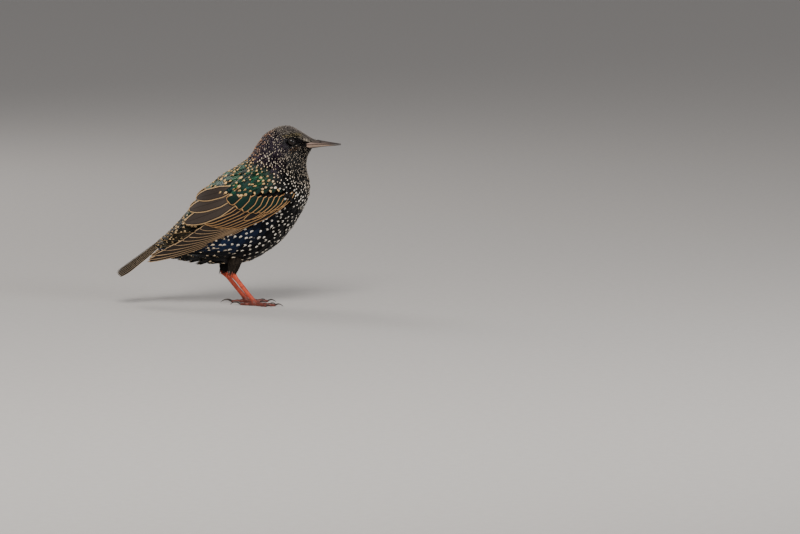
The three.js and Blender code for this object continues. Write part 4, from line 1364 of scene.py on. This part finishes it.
# %% Leg sizes
LEGS = {
    "right": dict(ankle=(2.9, 9.6, 27.0), foot=(21.6, 11.6, 3.0), turn=16),
    "left": dict(ankle=(-4.8, 9.6, 26.6), foot=(13.9, 11.6, 3.0), turn=4),
}
SHANK = dict(deep=1.75, wide=1.2, joint=1.45)
TOES = {
    "middle": dict(reach=18.5, heading=0, radius=1.55, claw=6.5),
    "inner": dict(reach=13.2, heading=-27, radius=1.4, claw=5.5),
    "outer": dict(reach=13.8, heading=25, radius=1.4, claw=5.3),
    "hind": dict(reach=12.0, heading=180, radius=1.6, claw=9.0),
}
TOE = dict(
    starts_at=1.6, base_z=1.4, tip_z=0.85, taper=0.74, knuckle=0.14, knuckles=3,
    end_from=0.91, end_length=0.1,
)
CLAW = dict(radius=0.95, point=0.16, rise=0.42, tip_z=0.35, longest=9.0, sunk=0.6, flat=0.72)
LEG_VOXEL = 0.32


def tube(centres, deep_radius, wide_radius, sides):
    """Rings round a line, deep in its own plane with the vertical and wide across it."""
    ahead = unit(np.gradient(centres, axis=0))
    deep = unit(np.cross(ahead, LEFTWARDS))
    wide = np.cross(deep, ahead)
    angle = turns(sides)[None, :, None]
    across = deep[:, None] * np.cos(angle) * np.reshape(deep_radius, (-1, 1, 1))
    return centres[:, None] + across + wide[:, None] * np.sin(angle) * np.reshape(wide_radius, (-1, 1, 1))


def shank_line(leg, steps=60):
    top, bottom = np.array(leg["ankle"]), np.array(leg["foot"])
    top = top - unit(bottom - top) * SHANK["joint"]
    return mix(top, bottom, np.linspace(0, 1, steps)[:, None])


def shank_radii(q):
    joint = np.minimum(1, np.sqrt(q * 9 + 0.2)) * np.exp(-(((q - 0.05) / 0.12) ** 2))
    knob = SHANK["joint"] * joint + 0.5 * np.exp(-(((1 - q) / 0.12) ** 2))
    return SHANK["deep"] + knob * 0.8, SHANK["wide"] + knob * 0.75


def toe_line(leg, toe, start, end, height):
    heading = math.radians(leg["turn"] + toe["heading"])
    reach = mix(start, end, np.linspace(0, 1, len(height)))
    x, y = leg["foot"][0] + reach * math.cos(heading), leg["foot"][1] + reach * math.sin(heading)
    return np.stack([x, y, height], axis=-1)


def toe_radii(toe, q):
    """Swollen at each joint, and rounded off where the claw comes out."""
    rounded = np.sqrt(1 - np.clip((q - TOE["end_from"]) / TOE["end_length"], 0, 0.9) ** 2)
    knuckles = 1 + TOE["knuckle"] * np.cos(q * TOE["knuckles"] * 2 * np.pi)
    return rounded * toe["radius"] * mix(1, TOE["taper"], q) * knuckles


def toe_centres(leg, toe, steps=44):
    q = np.linspace(0, 1, steps)
    height = mix(TOE["base_z"], TOE["tip_z"], q**0.7)
    return toe_line(leg, toe, -TOE["starts_at"], toe["reach"], height), q


# %% Leg skin material
UPPER_REDS = (0.62, 0.085, 0.035, 1), (0.42, 0.05, 0.024, 1)
TOE_BROWNS = (0.20, 0.042, 0.026, 1), (0.08, 0.022, 0.016, 1)
TOES_END = (0.0022, 0.0085)  # the height in metres over which brown turns to red

leg_skin, n, surface = new_material("leg skin", 0.42, 0.4)
height_up = n.add("ShaderNodeSeparateXYZ", n.place(), output=2)
blotch = n.noise(420.0, 3.0)
upper_red = n.mix(n.ramp(blotch, 0.35, 0.7), *UPPER_REDS)
toe_brown = n.mix(n.ramp(blotch, 0.35, 0.7), *TOE_BROWNS)
tone = n.mix(n.ramp(height_up, *TOES_END), toe_brown, upper_red)
creases = n.add("ShaderNodeTexVoronoi", n.place(), None, 1500.0)
rough = n.ramp(blotch, 0.3, 0.7, 0.36, 0.55)
finish(n, surface, colour=tone, roughness=rough, normal=n.bump(0.35, 0.00015, creases))

# %% [markdown]
# ### Scutes by Geometry Nodes
#
# A row of scutes follows a line down the front of the shank or along the top of a toe. The tree turns the
# line to evenly spaced points and sets a flattened dome on each one, tilted so that each lies over the next.

# %% Scute tree
SCUTE_SIZES = {"Count": 12, "Length": 1.0, "Width": 1.0, "Height": 0.3, "Taper": 0.8}
DOME, SCUTE_LEAN = {"Segments": 12, "Rings": 6, "Radius": 0.5 * MM}, 7


def scute_tree(material):
    tree = bpy.data.node_groups.new("row of scutes", "GeometryNodeTree")
    tree.interface.new_socket("Geometry", in_out="INPUT", socket_type="NodeSocketGeometry")
    for name, value in SCUTE_SIZES.items():
        kind = "NodeSocketInt" if name == "Count" else "NodeSocketFloat"
        tree.interface.new_socket(name, in_out="INPUT", socket_type=kind).default_value = value
    tree.interface.new_socket("Outward", in_out="INPUT", socket_type="NodeSocketVector")
    tree.interface.new_socket("Geometry", in_out="OUTPUT", socket_type="NodeSocketGeometry")
    n = Nodes(tree)
    given = tree.nodes.new("NodeGroupInput").outputs
    align = "FunctionNodeAlignEulerToVector"
    curve = n.add("GeometryNodeMeshToCurve", given["Geometry"])
    points = n.add("GeometryNodeCurveToPoints", mode="COUNT", named={"Curve": curve, "Count": given["Count"]})
    upright = n.add(align, axis="Z", named={"Vector": given["Outward"]})
    ahead = {"Rotation": upright, "Vector": points.node.outputs["Tangent"]}
    facing = n.add(align, axis="X", pivot_axis="Z", named=ahead)
    dome = n.add("GeometryNodeMeshUVSphere", named=DOME)
    size = n.add("ShaderNodeCombineXYZ", given["Length"], given["Width"], given["Height"])
    lean = (0, math.radians(SCUTE_LEAN), 0)
    shaped = n.add("GeometryNodeTransform", named={"Geometry": dome, "Scale": size, "Rotation": lean})
    share = n.math("DIVIDE", n.add("GeometryNodeInputIndex"), given["Count"])
    scale = n.math("ADD", 1.0, n.times(share, n.math("SUBTRACT", given["Taper"], 1.0)))
    row = {"Points": points, "Instance": shaped, "Rotation": facing, "Scale": scale}
    real = n.add("GeometryNodeRealizeInstances", n.add("GeometryNodeInstanceOnPoints", named=row))
    smooth = n.add("GeometryNodeSetShadeSmooth", real)
    painted = n.add("GeometryNodeSetMaterial", named={"Geometry": smooth, "Material": material})
    n.put(tree.nodes.new("NodeGroupOutput").inputs[0], painted)
    return tree


SCUTES = scute_tree(leg_skin)


def scute_row(line, outward, **sizes):
    """A plain mesh of one row of scutes along a line."""
    edges = [(i, i + 1) for i in range(len(line) - 1)]
    mesh = bpy.data.meshes.new("scute row")
    mesh.from_pydata((line * MM).tolist(), edges, [])
    made = new_object("scute row", mesh)
    modifier = made.modifiers.new("scutes", "NODES")
    modifier.node_group = SCUTES
    sockets = {item.name: item.identifier for item in SCUTES.interface.items_tree if item.in_out == "INPUT"}
    for name, value in {**sizes, "Outward": tuple(outward)}.items():
        modifier[sockets[name]] = value
    return applied(made)


# %% Build the legs
SCUTE_SPACING_SHANK, SCUTE_SPACING_TOE = 1.75, 1.15
SHANK_SCUTE = dict(Length=2.6, Width=2.5, Height=0.36, Taper=0.95)
TOE_SCUTE = dict(Length=1.7, Height=0.36, Taper=0.75)
BALL_SIZE, BALL_DROP = np.array((2.8, 2.5, 2.3)), np.array((0, 0, 1.1))


for side, leg in LEGS.items():
    line = shank_line(leg)
    deep, wide = shank_radii(np.linspace(0, 1, len(line)))
    shells = [loft("shank", tube(line, deep, wide, 28))]
    ball = BALL_SIZE * sphere(*pairs(np.linspace(0.02, 0.98, 14) * np.pi, turns(24)))
    shells.append(loft("ball", np.array(leg["foot"]) - BALL_DROP + ball))
    rows = []
    front = unit(np.cross(unit(line[-1] - line[0]), LEFTWARDS))
    front = front if front[0] > 0 else -front
    face = line + front * (deep[:, None] - 0.12)
    count = int(np.linalg.norm(line[-1] - line[6]) / SCUTE_SPACING_SHANK)
    rows.append(scute_row(face[5:-3], front, Count=count, **SHANK_SCUTE))
    for toe in TOES.values():
        centres, q = toe_centres(leg, toe)
        radii = toe_radii(toe, q)
        shells.append(loft("toe", tube(centres, radii, radii, 20)))
        top = centres + np.array([0, 0, 1.0]) * (radii[:, None] - 0.1)
        count = int(toe["reach"] / SCUTE_SPACING_TOE)
        width = toe["radius"] * 1.45
        rows.append(scute_row(top[9:], (0, 0, 1), Count=count, Width=width, **TOE_SCUTE))
    skin_of_leg = remeshed(joined(f"{side}_leg_skin", shells), LEG_VOXEL)
    scutes = joined(f"{side}_leg_scutes", rows)
    for piece, nodes in ((skin_of_leg, (f"{side}_shank", f"{side}_foot")), (scutes, ())):
        flat = points_of(piece)
        flat[:, 2] = np.maximum(flat[:, 2], 0)
        piece.data.vertices.foreach_set("co", (mirror_side(flat, side) * MM).ravel())
        if side == "right":
            piece.data.flip_normals()
        piece.data.materials.clear()
        piece.data.materials.append(leg_skin)
        piece.data.update()
        stands_for(piece, "legs", *nodes)

# %% [markdown]
# ## Claws
#
# Each claw is a curved cone that leaves the end of its toe, dark and smooth, with a faint paler grain.

# %% Claws
claw_horn, n, surface = new_material("claw horn", 0.3, 0.5)
grain = n.noise(700.0, 3.0, (0.4, 1.0, 1.0))
tone = n.mix(n.ramp(grain, 0.3, 0.7), (0.012, 0.009, 0.008, 1), (0.05, 0.036, 0.03, 1))
rough = n.ramp(grain, 0.3, 0.7, 0.22, 0.45)
finish(n, surface, colour=tone, roughness=rough, normal=n.bump(0.2, 0.0001, grain))


def claw_rings(leg, toe, steps=22, sides=16):
    q = np.linspace(0, 1, steps)
    top = TOE["tip_z"] + CLAW["rise"] * toe["claw"]
    height = (1 - q) ** 2 * TOE["tip_z"] + 2 * q * (1 - q) * top + q**2 * CLAW["tip_z"]
    girth = math.sqrt(toe["claw"] / CLAW["longest"]) * CLAW["radius"]
    radius = mix(girth, CLAW["point"], q**1.3)
    line = toe_line(leg, toe, toe["reach"] - CLAW["sunk"], toe["reach"] + toe["claw"], height)
    return tube(line, radius, radius * CLAW["flat"], sides)


for side, leg in LEGS.items():
    claws = [loft("claw", mirror_side(claw_rings(leg, toe), side)) for toe in TOES.values()]
    made = joined(f"{side}_claws", claws)
    made.data.materials.append(claw_horn)
    stands_for(made, "claws", *(f"{side}_{name}_claw" for name in TOES))
